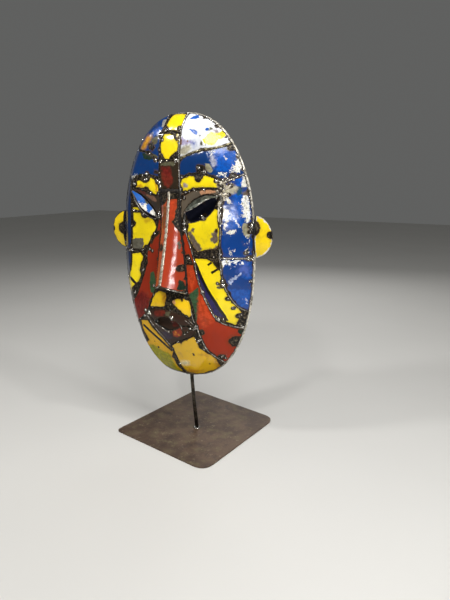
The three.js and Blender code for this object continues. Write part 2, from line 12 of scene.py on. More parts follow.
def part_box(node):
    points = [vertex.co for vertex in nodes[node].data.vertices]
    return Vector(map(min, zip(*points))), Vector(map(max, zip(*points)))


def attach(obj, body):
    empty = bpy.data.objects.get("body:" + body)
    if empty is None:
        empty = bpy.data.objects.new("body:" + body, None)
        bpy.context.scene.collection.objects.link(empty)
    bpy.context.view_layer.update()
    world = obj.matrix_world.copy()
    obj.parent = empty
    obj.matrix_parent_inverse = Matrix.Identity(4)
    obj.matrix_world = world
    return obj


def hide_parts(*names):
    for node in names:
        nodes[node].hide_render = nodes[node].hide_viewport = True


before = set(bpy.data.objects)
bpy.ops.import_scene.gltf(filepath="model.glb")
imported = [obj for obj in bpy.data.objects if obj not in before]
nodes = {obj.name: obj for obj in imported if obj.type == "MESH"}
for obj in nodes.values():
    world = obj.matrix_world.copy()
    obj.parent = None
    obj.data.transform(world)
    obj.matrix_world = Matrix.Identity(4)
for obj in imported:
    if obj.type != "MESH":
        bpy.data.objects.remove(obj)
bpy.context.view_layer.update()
MM = 0.001


# The mask's own measure: u to the viewer's right, v up and w out of the face, in millimetres from the middle
# of the rim plane. The form is the same as that of the solids.
SHEET = 1.2
TOUCH_GAP = 0.3
RIM_BAR_RADIUS = 3.2
RIM_BAR_INSET = 1.0
ROUNDNESS = 2.3
FACE_DEPTH = 50
FACE_DOME = 5
FACE_CROSS_CURVE = 0.1
SIDE_SLOPE = 1.0
SHOULDER_SOFTNESS = 6
MOUTH_SWELL = dict(rise=15, v=-130, half_width=75, half_height=65)
EYE_HOLLOW = dict(drop=5, u=75, v=98, half_width=38, half_height=24)
LIP_SWELL = dict(rise=7, u=-7, v=-150, half_width=48, half_height=24)

rim_low, rim_high = (Vector(corner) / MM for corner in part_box("rim_bar"))
HALF_WIDTH = (rim_high.x - rim_low.x) / 2 - RIM_BAR_RADIUS + RIM_BAR_INSET
HALF_HEIGHT = (rim_high.z - rim_low.z) / 2 - RIM_BAR_RADIUS + RIM_BAR_INSET
CENTRE = Vector(((rim_low.x + rim_high.x) / 2, rim_low.y - SHEET - TOUCH_GAP, (rim_low.z + rim_high.z) / 2))


def half_width_at(v):
    height = min(1, abs(v) / HALF_HEIGHT)
    return HALF_WIDTH * (1 - height ** ROUNDNESS) ** (1 / ROUNDNESS)


def bump(u, v, centre_u, centre_v, half_width, half_height):
    return math.exp(-((u - centre_u) / half_width) ** 2 - ((v - centre_v) / half_height) ** 2)


def softer_lesser(a, b, softness):
    mix = min(1, max(0, 0.5 + 0.5 * (b - a) / softness))
    return b * (1 - mix) + a * mix - softness * mix * (1 - mix)


def face_depth(u, v):
    half_width = half_width_at(v)
    height = min(1, abs(v) / HALF_HEIGHT)
    across = min(1, abs(u) / max(half_width, 1))
    swell = MOUTH_SWELL
    hollow = EYE_HOLLOW
    front = FACE_DEPTH * math.sqrt(1 - height ** FACE_DOME) * (1 - FACE_CROSS_CURVE * across * across)
    front += swell["rise"] * bump(u, v, 0, swell["v"], swell["half_width"], swell["half_height"])
    front -= hollow["drop"] * bump(abs(u), v, hollow["u"], hollow["v"], hollow["half_width"],
                                   hollow["half_height"])
    side = SIDE_SLOPE * max(0, half_width - abs(u))
    return max(0, softer_lesser(side, front, SHOULDER_SOFTNESS))


def lip_depth(u, v):
    swell = LIP_SWELL
    rise = swell["rise"] * bump(u, v, swell["u"], swell["v"], swell["half_width"], swell["half_height"])
    return face_depth(u, v) + rise


def place(u, v, w):
    """A place on the mask as a point of the part, in metres."""
    return Vector((CENTRE.x + u, CENTRE.y - w, CENTRE.z + v)) * MM


def face_normal(u, v, depth=face_depth):
    step = 0.8
    slope_u = (depth(u + step, v) - depth(u - step, v)) / (2 * step)
    slope_v = (depth(u, v + step) - depth(u, v - step)) / (2 * step)
    return Vector((-slope_u, -1, -slope_v)).normalized()


def face_point(u, v, lift, depth=face_depth):
    return place(u, v, depth(u, v)) + face_normal(u, v, depth) * lift * MM


def to_uv(point):
    return (point.x / MM - CENTRE.x, point.z / MM - CENTRE.z)


# Colours, as sRGB hex

def rgb(hex_code):
    def linear(channel):
        return channel / 12.92 if channel <= 0.04045 else ((channel + 0.055) / 1.055) ** 2.4
    value = int(hex_code.lstrip("#"), 16)
    channels = ((value >> shift & 255) / 255 for shift in (16, 8, 0))
    return (*(linear(channel) for channel in channels), 1.0)


def duller(colour, share):
    return (*(channel * share for channel in colour[:3]), 1.0)


# The darker red and blue of the left side and the darker yellow of the chin are copies of the red, blue and
# yellow toned for the shade there: painted shade.
ENAMEL = dict(
    yellow="#fbe016", yellow_warm="#f4c81c", yellow_chin_painted_shade="#e3b418", yellow_deep="#d2a212", blue="#083a80",
    blue_brow="#09346c", blue_painted_shade="#142b55", white="#e6e8ec", red="#a23116", red_painted_shade="#902f1b",
    char="#33281b", lip="#352219", bare="#5d5243")
MARKS = dict(
    azure="#0551ad", beige="#bab39b", black="#0d0a09", brick="#74291b", brown="#3d2615", cobalt="#1f5fbb",
    cream="#e2dfd3", dark_green="#1d3124", ember="#93321b", green="#3a5639", grey="#8b8983", khaki="#989276",
    lilac="#b3a9c9", lime="#98930c", maroon="#701f18", mauve="#a3a4b4", navy="#201b52", ochre="#c58a20",
    olive="#5d5a43", orange="#d98a1c", pink="#a99a9c", plum="#33263a", rust="#8a4f2a", salmon="#d79c72",
    scuff="#aebbd8", smear="#e2d3a2", stone="#625e50", tan="#7d5943", taupe="#6a5c50", teal="#1a4865",
    vermilion="#bf4522", violet="#4f63ac", white="#eef0f3", yellow="#f3dc2e")

# How far the border of a patch of colour strays and how soft it is, in millimetres
MARK_EDGES = dict(
    azure=(9.0, 3.5), beige=(12.0, 4.0), black=(2.0, 0.35), brick=(10.0, 3.0), cobalt=(3.0, 0.35),
    cream=(9.0, 0.4), green=(5.0, 1.6), lilac=(14.0, 3.0), lime=(14.0, 4.0), maroon=(14.0, 5.0),
    mauve=(14.0, 3.0), navy=(2.0, 0.35), ochre=(8.0, 6.0), orange=(8.0, 3.0), pink=(9.0, 2.5),
    salmon=(6.0, 1.5), scuff=(16.0, 0.5), smear=(10.0, 5.0), taupe=(9.0, 2.0), vermilion=(14.0, 5.0),
    violet=(14.0, 8.0), white=(9.0, 0.4), yellow=(5.0, 1.5))
OTHER_MARK_EDGE = (7.0, 1.0)


# Nodes of the materials

TIMES = dict(operation="MULTIPLY")
PLUS = dict(operation="ADD")
MINUS = dict(operation="SUBTRACT")
COLOUR = dict(data_type="RGBA")
SMOOTH = dict(interpolation_type="SMOOTHSTEP")


def add_node(tree, kind, *values, named=None, take=None, **settings):
    """Adds a node with its settings and links, and gives the output to take, or else its first. The values
    fill the inputs in use, in their order or by name: each is a number, a colour or an output to link."""
    added = tree.nodes.new("ShaderNode" + kind)
    for name, value in settings.items():
        setattr(added, name, value)
    filled = list(zip([socket for socket in added.inputs if socket.enabled], values))
    filled += [(added.inputs[name], value) for name, value in (named or {}).items()]
    for socket, value in filled:
        if isinstance(value, bpy.types.NodeSocket):
            tree.links.new(value, socket)
        else:
            socket.default_value = value
    outputs = [socket for socket in added.outputs if socket.enabled]
    return added.outputs[take] if take else next(iter(outputs), None)


def new_material(name):
    """A material without nodes, and add_node for it."""
    material = bpy.data.materials.new(name)
    material.use_nodes = True
    material.node_tree.nodes.clear()
    return material, partial(add_node, material.node_tree)


def add_patterns(add, table, seed=0.0):
    """The noises of a finish. A row of the table gives the width of a blotch in millimetres, its detail and
    roughness, how far it is shifted and how much it is distorted."""
    on_piece = add("TexCoord", take="Object")
    patterns = {}
    for name, (width_mm, detail, roughness, shift, distortion) in table.items():
        offset = seed + shift
        shifted = add("VectorMath", on_piece, (offset, offset * 0.7, -offset))
        patterns[name] = add("TexNoise", named={
            "Vector": shifted, "Scale": 1.0 / (width_mm * MM), "Detail": detail, "Roughness": roughness,
            "Distortion": distortion})
    return patterns


def laid_over(add, base, value, low, high, tone, share=1.0):
    """A colour laid over another where a value rises from low to high."""
    strength = add("MapRange", value, low, high, **SMOOTH)
    if share != 1.0:
        strength = add("Math", strength, share, **TIMES)
    return add("Mix", strength, base, tone, **COLOUR)


# Materials

# Drift of the paint, ragged borders, flakes and their primer, grime, and the crust of the burns
ENAMEL_PATTERNS = dict(
    drift=(60, 2.0, 0.5, 0, 0), ragged=(5, 4.0, 0.6, 0, 0), grain=(1.6, 3.0, 0.6, 0, 0),
    blotches=(7, 4.0, 0.65, 5, 0), flakes=(6, 5.0, 0.66, 3, 0.5), primer=(3, 4.0, 0.7, 9, 0),
    specks=(3.2, 2.0, 0.5, 11, 0), film=(22, 4.0, 0.65, 15, 0), scale=(5, 4.0, 0.7, 7, 0),
    skin=(14, 2.0, 0.5, 1, 0))
ENAMEL_RELIEF = 1.1 * MM
BURNT_ROUGHNESS = 0.3
BURNT_SHEEN = 0.22
PRIMER_ROUGHNESS = 0.45
CHAR_PER_MM = 0.12


def burnt_enamel(name, colour, marks, flakes=None, gloss=0.16, seed=0.0, sheen=0.5):
    """Baked enamel on drum steel, scorched where it was welded: glossy colour with ragged patches of other
    paint, some of them painted shade and painted sheen, flakes down to the primer, and brown-black burns that
    end in a crisp line."""
    material, add = new_material(name)
    pattern = add_patterns(add, ENAMEL_PATTERNS, seed)
    wobble = add("Math", pattern["ragged"], 0.5, **MINUS)

    # The paint itself drifts a little in depth from place to place, and so does each patch.
    paint = laid_over(add, duller(rgb(colour), 0.84), pattern["drift"], 0.3, 0.7, rgb(colour))
    for mark in marks:
        if mark == "char":
            continue
        reach, edge = MARK_EDGES.get(mark, OTHER_MARK_EDGE)
        inwards = add("Attribute", attribute_name="mark_" + mark, take="Fac")
        inwards = add("Math", inwards, add("Math", wobble, reach, **TIMES), **PLUS)
        tone = laid_over(add, duller(rgb(MARKS[mark]), 0.68), pattern["blotches"], 0.4, 0.6, rgb(MARKS[mark]))
        paint = laid_over(add, paint, inwards, -edge, edge, tone)
    bare = None
    if flakes:
        near = add("Math", add("Attribute", attribute_name="flaking", take="Fac"), 1 / 40, **TIMES)
        near = add("Math", near, 0.16, operation="MINIMUM")
        bare = add("MapRange", add("Math", pattern["flakes"], near, **PLUS), 0.575, 0.595, **SMOOTH)
        primer = laid_over(add, rgb("#7d7862"), pattern["primer"], 0.36, 0.5, rgb(MARKS[flakes]))
        paint = add("Mix", bare, paint, primer, **COLOUR)

    # Grime: sparse dark specks and a thin brown film in places.
    paint = laid_over(add, paint, pattern["specks"], 0.74, 0.78, rgb("#2c2118"), 0.75)
    paint = laid_over(add, paint, pattern["film"], 0.55, 0.75, rgb("#5a4630"), 0.28)

    # Heat: hazed and singed paint, then brown, then soot mottled with bare scaled steel.
    burn = add("Attribute", attribute_name="burn", take="Fac")
    if "char" in marks:
        charred = add("Attribute", attribute_name="mark_char", take="Fac")
        burn = add("Math", burn, add("Math", charred, CHAR_PER_MM, **TIMES), operation="MAXIMUM")
    heat = add("Math", burn, add("Math", wobble, 0.5, **TIMES), **PLUS)
    gritty = add("Math", pattern["grain"], 0.5, **MINUS)
    heat = add("Math", heat, add("Math", gritty, 0.1, **TIMES), **PLUS)
    paint = laid_over(add, paint, heat, -0.5, 0.02, rgb("#4a3a20"), 0.22)
    paint = laid_over(add, paint, heat, -0.02, 0.05, rgb("#6b4a1e"), 0.45)
    paint = laid_over(add, paint, heat, 0.06, 0.13, rgb("#2d1b0c"))
    paint = laid_over(add, paint, heat, 0.15, 0.35, rgb("#0f0b07"))
    brown = add("MapRange", heat, 0.06, 0.13, **SMOOTH)
    scaled = add("MapRange", pattern["scale"], 0.47, 0.6, **SMOOTH)
    scaled = add("Math", add("MapRange", heat, 0.2, 0.5, **SMOOTH), scaled, **TIMES)
    scale_tone = laid_over(add, rgb("#211911"), pattern["grain"], 0.38, 0.66, rgb("#8a7c65"))
    paint = add("Mix", scaled, paint, scale_tone, **COLOUR)

    roughness = add("Mix", brown, gloss, BURNT_ROUGHNESS)
    crust = add("Math", pattern["grain"], add("Math", pattern["ragged"], 1.6, **TIMES), **PLUS)
    crust = add("Math", brown, add("Math", crust, 0.9, **TIMES), **TIMES)
    height = add("Math", crust, add("Math", pattern["skin"], 0.5, **TIMES), **PLUS)
    if bare:
        roughness = add("Mix", bare, roughness, PRIMER_ROUGHNESS)
        height = add("Math", height, add("Math", bare, 0.25, **TIMES), **MINUS)
    surface = add("BsdfPrincipled", named={
        "Base Color": paint,
        "Roughness": roughness,
        "Metallic": add("Math", scaled, 0.7, **TIMES),
        "Specular IOR Level": add("Mix", brown, sheen, BURNT_SHEEN),
        "Normal": add("Bump", named={"Height": height, "Strength": 0.55, "Distance": ENAMEL_RELIEF})})
    add("OutputMaterial", surface)
    return material


def scaled_steel(name, dark, light, roughness, metal, blotch_mm, relief_mm, shift=0.0):
    """Bare steel blued and scaled by heat: dark, with lighter rubbed places that catch the light. The first
    roughness is that of the light places."""
    material, add = new_material(name)
    pattern = add_patterns(add, dict(blotch=(blotch_mm, 4.0, 0.6, 0, 0), grain=(1.2, 3.0, 0.6, 0, 0)))
    grain = add("Math", pattern["grain"], 0.3, **TIMES)
    scale = add("Math", add("Math", pattern["blotch"], 0.7, **TIMES), grain, **PLUS)
    rubbed = add("MapRange", scale, 0.4 + shift, 0.62 + shift, **SMOOTH)
    surface = add("BsdfPrincipled", named={
        "Base Color": add("Mix", rubbed, rgb(dark), rgb(light), **COLOUR),
        "Roughness": add("Mix", rubbed, roughness[1], roughness[0]),
        "Metallic": metal,
        "Normal": add("Bump", named={"Height": scale, "Strength": 0.6, "Distance": relief_mm * MM})})
    add("OutputMaterial", surface)
    return material


# The steels: dark and light tone, roughness of the light and the dark places, how metallic, the width of a
# blotch and its relief in millimetres, and how much of the light is taken away
STEELS = dict(
    # Drum sheet that was never painted, dulled by the heat: the brown-grey inside of the mask
    drum_steel_inside=("#2b2622", "#5d564c", (0.45, 0.7), 0.5, 25, 0.4),
    # Edges ground after cutting: the bright rim of the scraps and the ears
    ground_cut_edge=("#6c6658", "#d8d2c2", (0.22, 0.4), 1.0, 5, 0.3),
    # Edges left as the torch cut them: the black rim of the lips
    burnt_cut_edge=("#140e0a", "#2c231a", (0.7, 0.9), 0.1, 5, 0.3),
    # Fresh weld metal: near-black balls with a hard white glint
    weld_metal=("#1c1611", "#fbf6ec", (0.08, 0.32), 0.95, 3, 0.6),
    # Scale baked on by the torch, made matt and near black for the shade under the nose: the plate under the
    # nose, partly painted shade
    burnt_scale_and_shade=("#16110d", "#332a20", (0.6, 0.8), 0.2, 6, 0.8),
    # Bare sheet worn dull and greenish: the lid over the right eye
    worn_lid_steel=("#1f221b", "#62665a", (0.4, 0.62), 0.4, 9, 0.5),
    # Round bar with a thin skin of weld, its light tone pale enough to stand for the highlight along the bar:
    # the pale band round the rim, partly a painted highlight
    rim_bar_steel=("#5c5342", "#f6efde", (0.3, 0.5), 0.35, 9, 0.4, -0.03),
    # Rolled round bar: the dark, half glossy rod
    rod_steel=("#1a1714", "#4a4339", (0.22, 0.42), 0.85, 14, 0.3),
    # Unground weld: the black, glinting line between two scraps
    seam_bead_burnt=("#0e0b08", "#70634e", (0.18, 0.5), 0.8, 3, 0.7, 0.07),
    # Weld ground bright: the silvery line on the sunlit seams
    seam_bead_ground=("#2b241b", "#f6f1e6", (0.16, 0.4), 0.85, 5, 0.5),
    # Weld tinted by its heat: the dull gold line under the white forehead
    seam_bead_bronze=("#3a3120", "#b3a988", (0.25, 0.45), 0.9, 6, 0.5),
    # Wide bead ground flat: the pale ridge of the nose
    ridge_weld_ground=("#6b5b45", "#efe6d2", (0.24, 0.42), 0.55, 5, 0.5, -0.02),
    # Filler piled up and smeared: the beige crust beside the right eye
    seam_filler_beige=("#857a64", "#e4dbc6", (0.35, 0.55), 0.3, 5, 0.6),
    # Sooty weld deep in the cracks: black without a glint
    crack_filler_black=("#0b0806", "#2e251c", (0.5, 0.8), 0.3, 4, 0.7, 0.04),
)
steel = {name: scaled_steel(name, *finish) for name, finish in STEELS.items()}


# Blotches, patches, scrapes and grit of the base plate
PLATE_PATTERNS = dict(
    broad=(80, 3.0, 0.6, 0, 0), mottled=(24, 6.0, 0.68, 2, 0), scraped=(11, 5.0, 0.7, 5, 1.5),
    grain=(1.5, 3.0, 0.6, 0, 0))
PLATE_RELIEF = 0.6 * MM


def rusty_plate(name):
    """Hot-rolled plate left outdoors and then oiled: brown-black rust with a worn, slightly shiny film."""
    material, add = new_material(name)
    pattern = add_patterns(add, PLATE_PATTERNS)
    colour = laid_over(add, rgb("#4b382a"), pattern["broad"], 0.4, 0.6, rgb("#5f4a39"))
    colour = laid_over(add, colour, pattern["mottled"], 0.48, 0.66, rgb("#6e6247"), 0.55)
    colour = laid_over(add, colour, pattern["mottled"], 0.47, 0.33, rgb("#33241c"), 0.6)
    colour = laid_over(add, colour, pattern["scraped"], 0.6, 0.66, rgb("#9a8c72"), 0.5)
    grain = add("Math", pattern["grain"], 0.5, **TIMES)
    height = add("Math", add("Math", pattern["mottled"], 0.5, **TIMES), grain, **PLUS)
    surface = add("BsdfPrincipled", named={
        "Base Color": colour,
        "Roughness": add("Mix", pattern["mottled"], 0.4, 0.62),
        "Metallic": 0.25,
        "Normal": add("Bump", named={"Height": height, "Strength": 0.5, "Distance": PLATE_RELIEF})})
    add("OutputMaterial", surface)
    return material


def plain_floor(name):
    """A pale matt studio floor."""
    material, add = new_material(name)
    tone = add_patterns(add, dict(tone=(400, 2.0, 0.5, 0, 0)))["tone"]
    colour = add("Mix", tone, rgb("#cfcdc8"), rgb("#d6d4cf"), **COLOUR)
    add("OutputMaterial", add("BsdfPrincipled", named={"Base Color": colour, "Roughness": 0.7}))
    return material


# Making meshes

def make_active(piece):
    bpy.ops.object.select_all(action="DESELECT")
    piece.select_set(True)
    bpy.context.view_layer.objects.active = piece


def linked_object(name, data):
    made = bpy.data.objects.new(name, data)
    bpy.context.collection.objects.link(made)
    return made


def object_of(mesh_data, name):
    mesh = bpy.data.meshes.new(name)
    mesh_data.to_mesh(mesh)
    mesh_data.free()
    return linked_object(name, mesh)


def set_values(mesh, values):
    """Writes values per point, which the materials read by name."""
    for name, data in values.items():
        layer = mesh.attributes.new(name, "FLOAT", "POINT")
        layer.data.foreach_set("value", np.asarray(data, dtype=np.float32))


def apply_modifiers(piece):
    make_active(piece)
    for modifier in list(piece.modifiers):
        bpy.ops.object.modifier_apply(modifier=modifier.name)


def smooth(piece, angle=40):
    make_active(piece)
    bpy.ops.object.shade_smooth_by_angle(angle=math.radians(angle))


def merged_copy(name):
    """A bmesh copy of a CAD node with its loose triangles joined."""
    copy = bmesh.new()
    copy.from_mesh(nodes[name].data)
    bmesh.ops.remove_doubles(copy, verts=copy.verts, dist=0.02 * MM)
    return copy


def nearest_tree(points):
    """A search tree that finds the nearest of some points."""
    tree = kdtree.KDTree(len(points))
    for index, point in enumerate(points):
        tree.insert(point, index)
    tree.balance()
    return tree


# Panels

def front_outline(name):
    """The outline of a panel's outer face as a closed line of (u, v)."""
    copy = merged_copy(name)
    front = {face for face in copy.faces if face.normal.y < -0.1}
    edges = [edge for edge in copy.edges if sum(face in front for face in edge.link_faces) == 1]
    neighbours = {}
    for edge in edges:
        a, b = edge.verts
        neighbours.setdefault(a, []).append(b)
        neighbours.setdefault(b, []).append(a)
    loops = []
    left = dict.fromkeys(neighbours)
    while left:
        here = next(iter(left))
        left.pop(here)
        loop = [here]
        while True:
            ahead = [vert for vert in neighbours[here] if vert in left]
            if not ahead:
                break
            here = ahead[0]
            left.pop(here)
            loop.append(here)
        loops.append([to_uv(vert.co) for vert in loop])
    copy.free()
    return max(loops, key=len)


# Outlines: points nearer than this in millimetres are one, turns below the first angle in degrees are
# straight and above the second are corners, and the step in millimetres between the points
SAME_POINT = 0.3
STRAIGHT_ANGLE = 1.2
CORNER_ANGLE = 28
OUTLINE_STEP = 2.0


def turn_at(before, here, after):
    a = np.subtract(here, before)
    b = np.subtract(after, here)
    return math.degrees(abs(math.atan2(a[0] * b[1] - a[1] * b[0], float(np.dot(a, b)))))


def simplified(loop):
    """Drops points that lie on a straight line between their neighbours, or on top of one."""
    points = [p for i, p in enumerate(loop) if math.dist(p, loop[i - 1]) > SAME_POINT]
    changed = True
    while changed:
        changed = False
        for i in range(len(points)):
            before, here, after = points[i - 1], points[i], points[(i + 1) % len(points)]
            if turn_at(before, here, after) < STRAIGHT_ANGLE and len(points) > 4:
                points.pop(i)
                changed = True
                break
    return points


def smooth_outline(loop):
    """The same outline with its bends rounded and its corners kept, at an even step."""
    points = [np.array(point) for point in simplified(loop)]
    count = len(points)
    corner = [turn_at(points[i - 1], points[i], points[(i + 1) % count]) > CORNER_ANGLE for i in range(count)]
    line = []
    for i in range(count):
        p0, p1, p2, p3 = (points[(i + k) % count] for k in (-1, 0, 1, 2))
        reach = np.linalg.norm(p2 - p1)

        def slope(before, after, is_corner):
            if is_corner:
                return p2 - p1
            span = after - before
            return span / max(np.linalg.norm(span), 1e-6) * reach
        m1 = slope(p0, p2, corner[i])
        m2 = slope(p1, p3, corner[(i + 1) % count])
        steps = max(1, round(reach / OUTLINE_STEP))
        for k in range(steps):
            t = k / steps
            line.append((2 * t**3 - 3 * t**2 + 1) * p1 + (t**3 - 2 * t**2 + t) * m1
                        + (3 * t**2 - 2 * t**3) * p2 + (t**3 - t**2) * m2)
    return np.array(line)


def inside(points, outline):
    """Which points lie inside a closed outline."""
    x, y = points[:, 0], points[:, 1]
    result = np.zeros(len(points), bool)
    for (x1, y1), (x2, y2) in zip(outline, np.roll(outline, -1, axis=0)):
        crosses = (y1 > y) != (y2 > y)
        if y1 != y2:
            result ^= crosses & (x < (x2 - x1) * (y - y1) / (y2 - y1) + x1)
    return result


def distance_to(points, outline):
    """How far each point is from a closed outline."""
    best = np.full(len(points), np.inf)
    for a, b in zip(outline, np.roll(outline, -1, axis=0)):
        ab = b - a
        length = max(float(ab @ ab), 1e-9)
        t = np.clip(((points - a) @ ab) / length, 0, 1)
        best = np.minimum(best, np.linalg.norm(points - (a + t[:, None] * ab), axis=1))
    return best


FAR_OUTSIDE = -60.0


def signed_distance(points, polygons):
    """Millimetres inside the nearest of some polygons, negative outside."""
    best = np.full(len(points), FAR_OUTSIDE)
    for polygon in polygons:
        outline = np.array(polygon, float)
        distance = distance_to(points, outline)
        best = np.maximum(best, np.where(inside(points, outline), distance, -distance))
    return best


def disc(u, v, radius, sides=10):
    turn = [math.tau * k / sides for k in range(sides)]
    return [(u + radius * math.cos(a), v + radius * math.sin(a)) for a in turn]


# The grid of a sheet in millimetres: its step and how far its points are shaken
GRID_STEP = 2.4
GRID_SHAKE = 0.2


def inner_points(outline, seed):
    """Points on an even triangular grid inside the outline, a little shaken."""
    rows = GRID_STEP * math.sqrt(3) / 2
    low, high = outline.min(axis=0), outline.max(axis=0)
    shake = np.random.default_rng(seed)
    grid = []
    for row, v in enumerate(np.arange(low[1], high[1], rows)):
        for u in np.arange(low[0] + (row % 2) * GRID_STEP / 2, high[0], GRID_STEP):
            grid.append((u, v))
    grid = np.array(grid) + shake.uniform(-GRID_SHAKE, GRID_SHAKE, (len(grid), 2))
    grid = grid[inside(grid, outline)]
    return grid[distance_to(grid, outline) > GRID_STEP * 0.55]


BENT_OR_THICK = (
    "nose_right", "nose_left", "nose_underside", "eye_visor_right", "eye_visor_left", "eye_plate_right",
    "eye_plate_left", "mouth_plate", "ear_right", "ear_left", "rim_bar", "stand_rod", "base_plate")
PANELS = [name for name in nodes if name not in BENT_OR_THICK]
outlines = {name: smooth_outline(front_outline(name)) for name in PANELS}


# Seams: where two outlines run side by side. The reaches, in millimetres, are how near a neighbour, the rim
# and the nose count as beside an outline
SEAM_REACH = 2.2
RIM_REACH = 3.0
NOSE_REACH = 7
NOSE_HALF_WIDTH = 46
NOSE_TOP = 129


def near_rim(u, v):
    return half_width_at(v) - abs(u) < RIM_REACH or abs(v) > HALF_HEIGHT - RIM_REACH


def near_nose(u, v, nose_tree):
    return nose_tree.find((u, v, 0))[2] < NOSE_REACH and abs(u) < NOSE_HALF_WIDTH and v < NOSE_TOP


def find_seams():
    """Runs of each outline, sorted by what lies beside them: another panel, the rim, or the nose."""
    owners = [(name, i) for name in PANELS for i in range(len(outlines[name]))]
    tree = nearest_tree([(*outlines[name][i], 0) for name, i in owners])
    nose_tree = nearest_tree([(*to_uv(vert.co), 0) for side in ("nose_right", "nose_left")
                              for vert in nodes[side].data.vertices])
    seams = []
    for name in PANELS:
        run, beside = [], None
        outline = outlines[name]
        for u, v in [*outline, outline[0]]:
            others = [(distance, owners[index][0], point) for point, index, distance
                      in tree.find_range((u, v, 0), SEAM_REACH) if owners[index][0] != name]
            if others:
                _, other, point = min(others, key=lambda item: item[0])
                spot = ((u + point.x) / 2, (v + point.y) / 2)
            elif near_rim(u, v):
                other, spot = "rim", (u, v)
            elif near_nose(u, v, nose_tree):
                other, spot = "nose", (u, v)
            else:
                other, spot = None, None
            if other != beside:
                if beside and len(run) > 2:
                    seams.append((name, beside, run))
                run, beside = [], other
            if spot:
                run.append(spot)
        if beside and len(run) > 2:
            seams.append((name, beside, run))
    return [seam for seam in seams if seam[1] in ("rim", "nose") or seam[0] < seam[1]]


seams = find_seams()


# Tack welds that show on the real mask, as (u, v)
TACKS = [
    (-18, 248), (14, 250), (-28, 239), (-24, 229), (-24, 188), (12, 189), (18, 187), (-38, 190), (67, 174),
    (80, 165), (121, 152), (128, 159), (115, 150), (-60, 162), (-63, 152), (-99, 152), (-94, 142), (-33, 148),
    (-28, 144), (-26, 137), (-31, 123), (22, 139), (25, 132), (23, 122), (56, 132), (33, 115), (80, 132),
    (113, 125), (107, 118), (115, 107), (-52, 123), (-18, 104), (-30, 84), (-30, 76), (20, 88), (19, 80),
    (32, 63), (32, 51), (21, 71), (75, 78), (-76, 78), (-100, 86), (-58, 6), (-51, 2), (-108, 0), (-79, -42),
    (-105, -95), (-12, 16), (115, 6), (160, -3), (166, -6), (154, 8), (30, -27), (41, -7), (121, -56),
    (120, -48), (110, -53), (76, -75), (110, -129), (117, -130), (37, -76), (39, -89), (9, -77), (-72, -131),
    (-65, -136), (-76, -144), (9, -138), (34, -164), (59, -153), (145, -122), (141, -124), (134, -106),
    (127, -85), (144, -150), (105, -226), (101, -220), (163, -51), (155, 130), (85, 255), (76, -200),
    (64, -181), (163, 62), (161, 50), (8, -135), (-4, -168), (49, -155), (60, -150), (35, -169), (42, -163),
    (-58, -133), (-47, -73), (-36, -150), (113, 143), (119, 134), (114, 121), (125, 122), (118, 117),
    (126, 139), (105, 148),
]
# The radius of the least and the largest of them and of the small ones between, the way from one small one to
# the next, and how far these keep from the others, in millimetres
TACK_SIZE = (1.8, 3.4)
SMALL_TACK_SIZE = (1.2, 2.2)
TACK_SPACING = 34
FREE_OF_TACKS = 9
# Places burnt without a weld, as (u, v, radius)
SCORCHES = [(67, 154, 9), (131, -184, 14), (118, 212, 7), (74, -160, 7), (-12, 14, 8), (30, -27, 7)]
EAR_SCORCHES = [(165, 57, 17), (202, 45, 8), (-172, 42, 15), (-206, 39, 7)]
random.seed(11)


def tack_places():
    """The welds that show, and smaller ones every few centimetres along the seams."""
    places = [(u, v, random.uniform(*TACK_SIZE)) for u, v in TACKS]
    for name, beside, run in seams:
        lengths = np.cumsum([0] + [math.dist(run[i], run[i + 1]) for i in range(len(run) - 1)])
        at = random.uniform(1, 12)
        while at < lengths[-1]:
            u, v = run[min(int(np.searchsorted(lengths, at)), len(run) - 1)]
            if min(math.dist((u, v), tack) for tack in TACKS) > FREE_OF_TACKS:
                places.append((u, v, random.uniform(*SMALL_TACK_SIZE)))
            at += random.uniform(0.6, 1.4) * TACK_SPACING
    return places


tacks = tack_places()
burn_spots = [(u, v, size * random.uniform(1.7, 2.6)) for u, v, size in tacks] + SCORCHES

# How scorched a weld's middle and sound paint are, the millimetres over which a burn fades, the narrowest and
# added width of the burnt border of a scrap and the length of its waves. Beside the rim, which has little
# weld, the border is narrower
WELD_HEAT = 1.1
SOUND = -0.6
BURN_FADE = 9
BURNT_BORDER = (1.8, 5.0)
BURNT_BORDER_ROUND_SOUND = (1.2, 1.6)
BORDER_WAVE = 16
RIM_BORDER = 8
RIM_BORDER_SHARE = 0.35


def burn_at(points, outline, seed, sound, burns):
    """How scorched each point is, and how far from the outline: 1 or more at a weld, 0 or less where the
    paint is sound. Where the outline of the sound paint is known, all outside it is burnt."""
    edge = distance_to(points, outline)
    burn = np.zeros(len(points))
    narrow, spread = BURNT_BORDER_ROUND_SOUND if sound else BURNT_BORDER
    for i, (u, v) in enumerate(points):
        along = noise.noise(Vector((u / BORDER_WAVE, v / BORDER_WAVE, seed)))
        from_rim = min(half_width_at(v) - abs(u), HALF_HEIGHT - abs(v))
        share = RIM_BORDER_SHARE if from_rim < RIM_BORDER else 1.0
        burn[i] = 1 - edge[i] / ((narrow + spread * max(0, along)) * share)
    for u, v, radius in burn_spots:
        distance = np.hypot(points[:, 0] - u, points[:, 1] - v)
        burn = np.maximum(burn, WELD_HEAT * (1 - distance / radius))
    if sound:
        burn = np.maximum(burn, -signed_distance(points, sound) / BURN_FADE)
    if burns:
        burn = np.maximum(burn, signed_distance(points, burns) / BURN_FADE)
    return np.maximum(burn, SOUND), edge


# The hammered face of a scrap, in millimetres: how much it domes and over what reach from its edge, how deep
# and wide its dents are, and how it ripples at the welds
PILLOW, PILLOW_REACH = 1.3, 9
DENT, DENT_WIDTH, DENT_REACH = 0.9, 34, 6
RIPPLE, RIPPLE_WIDTH, RIPPLE_REACH = 0.5, 7, 7


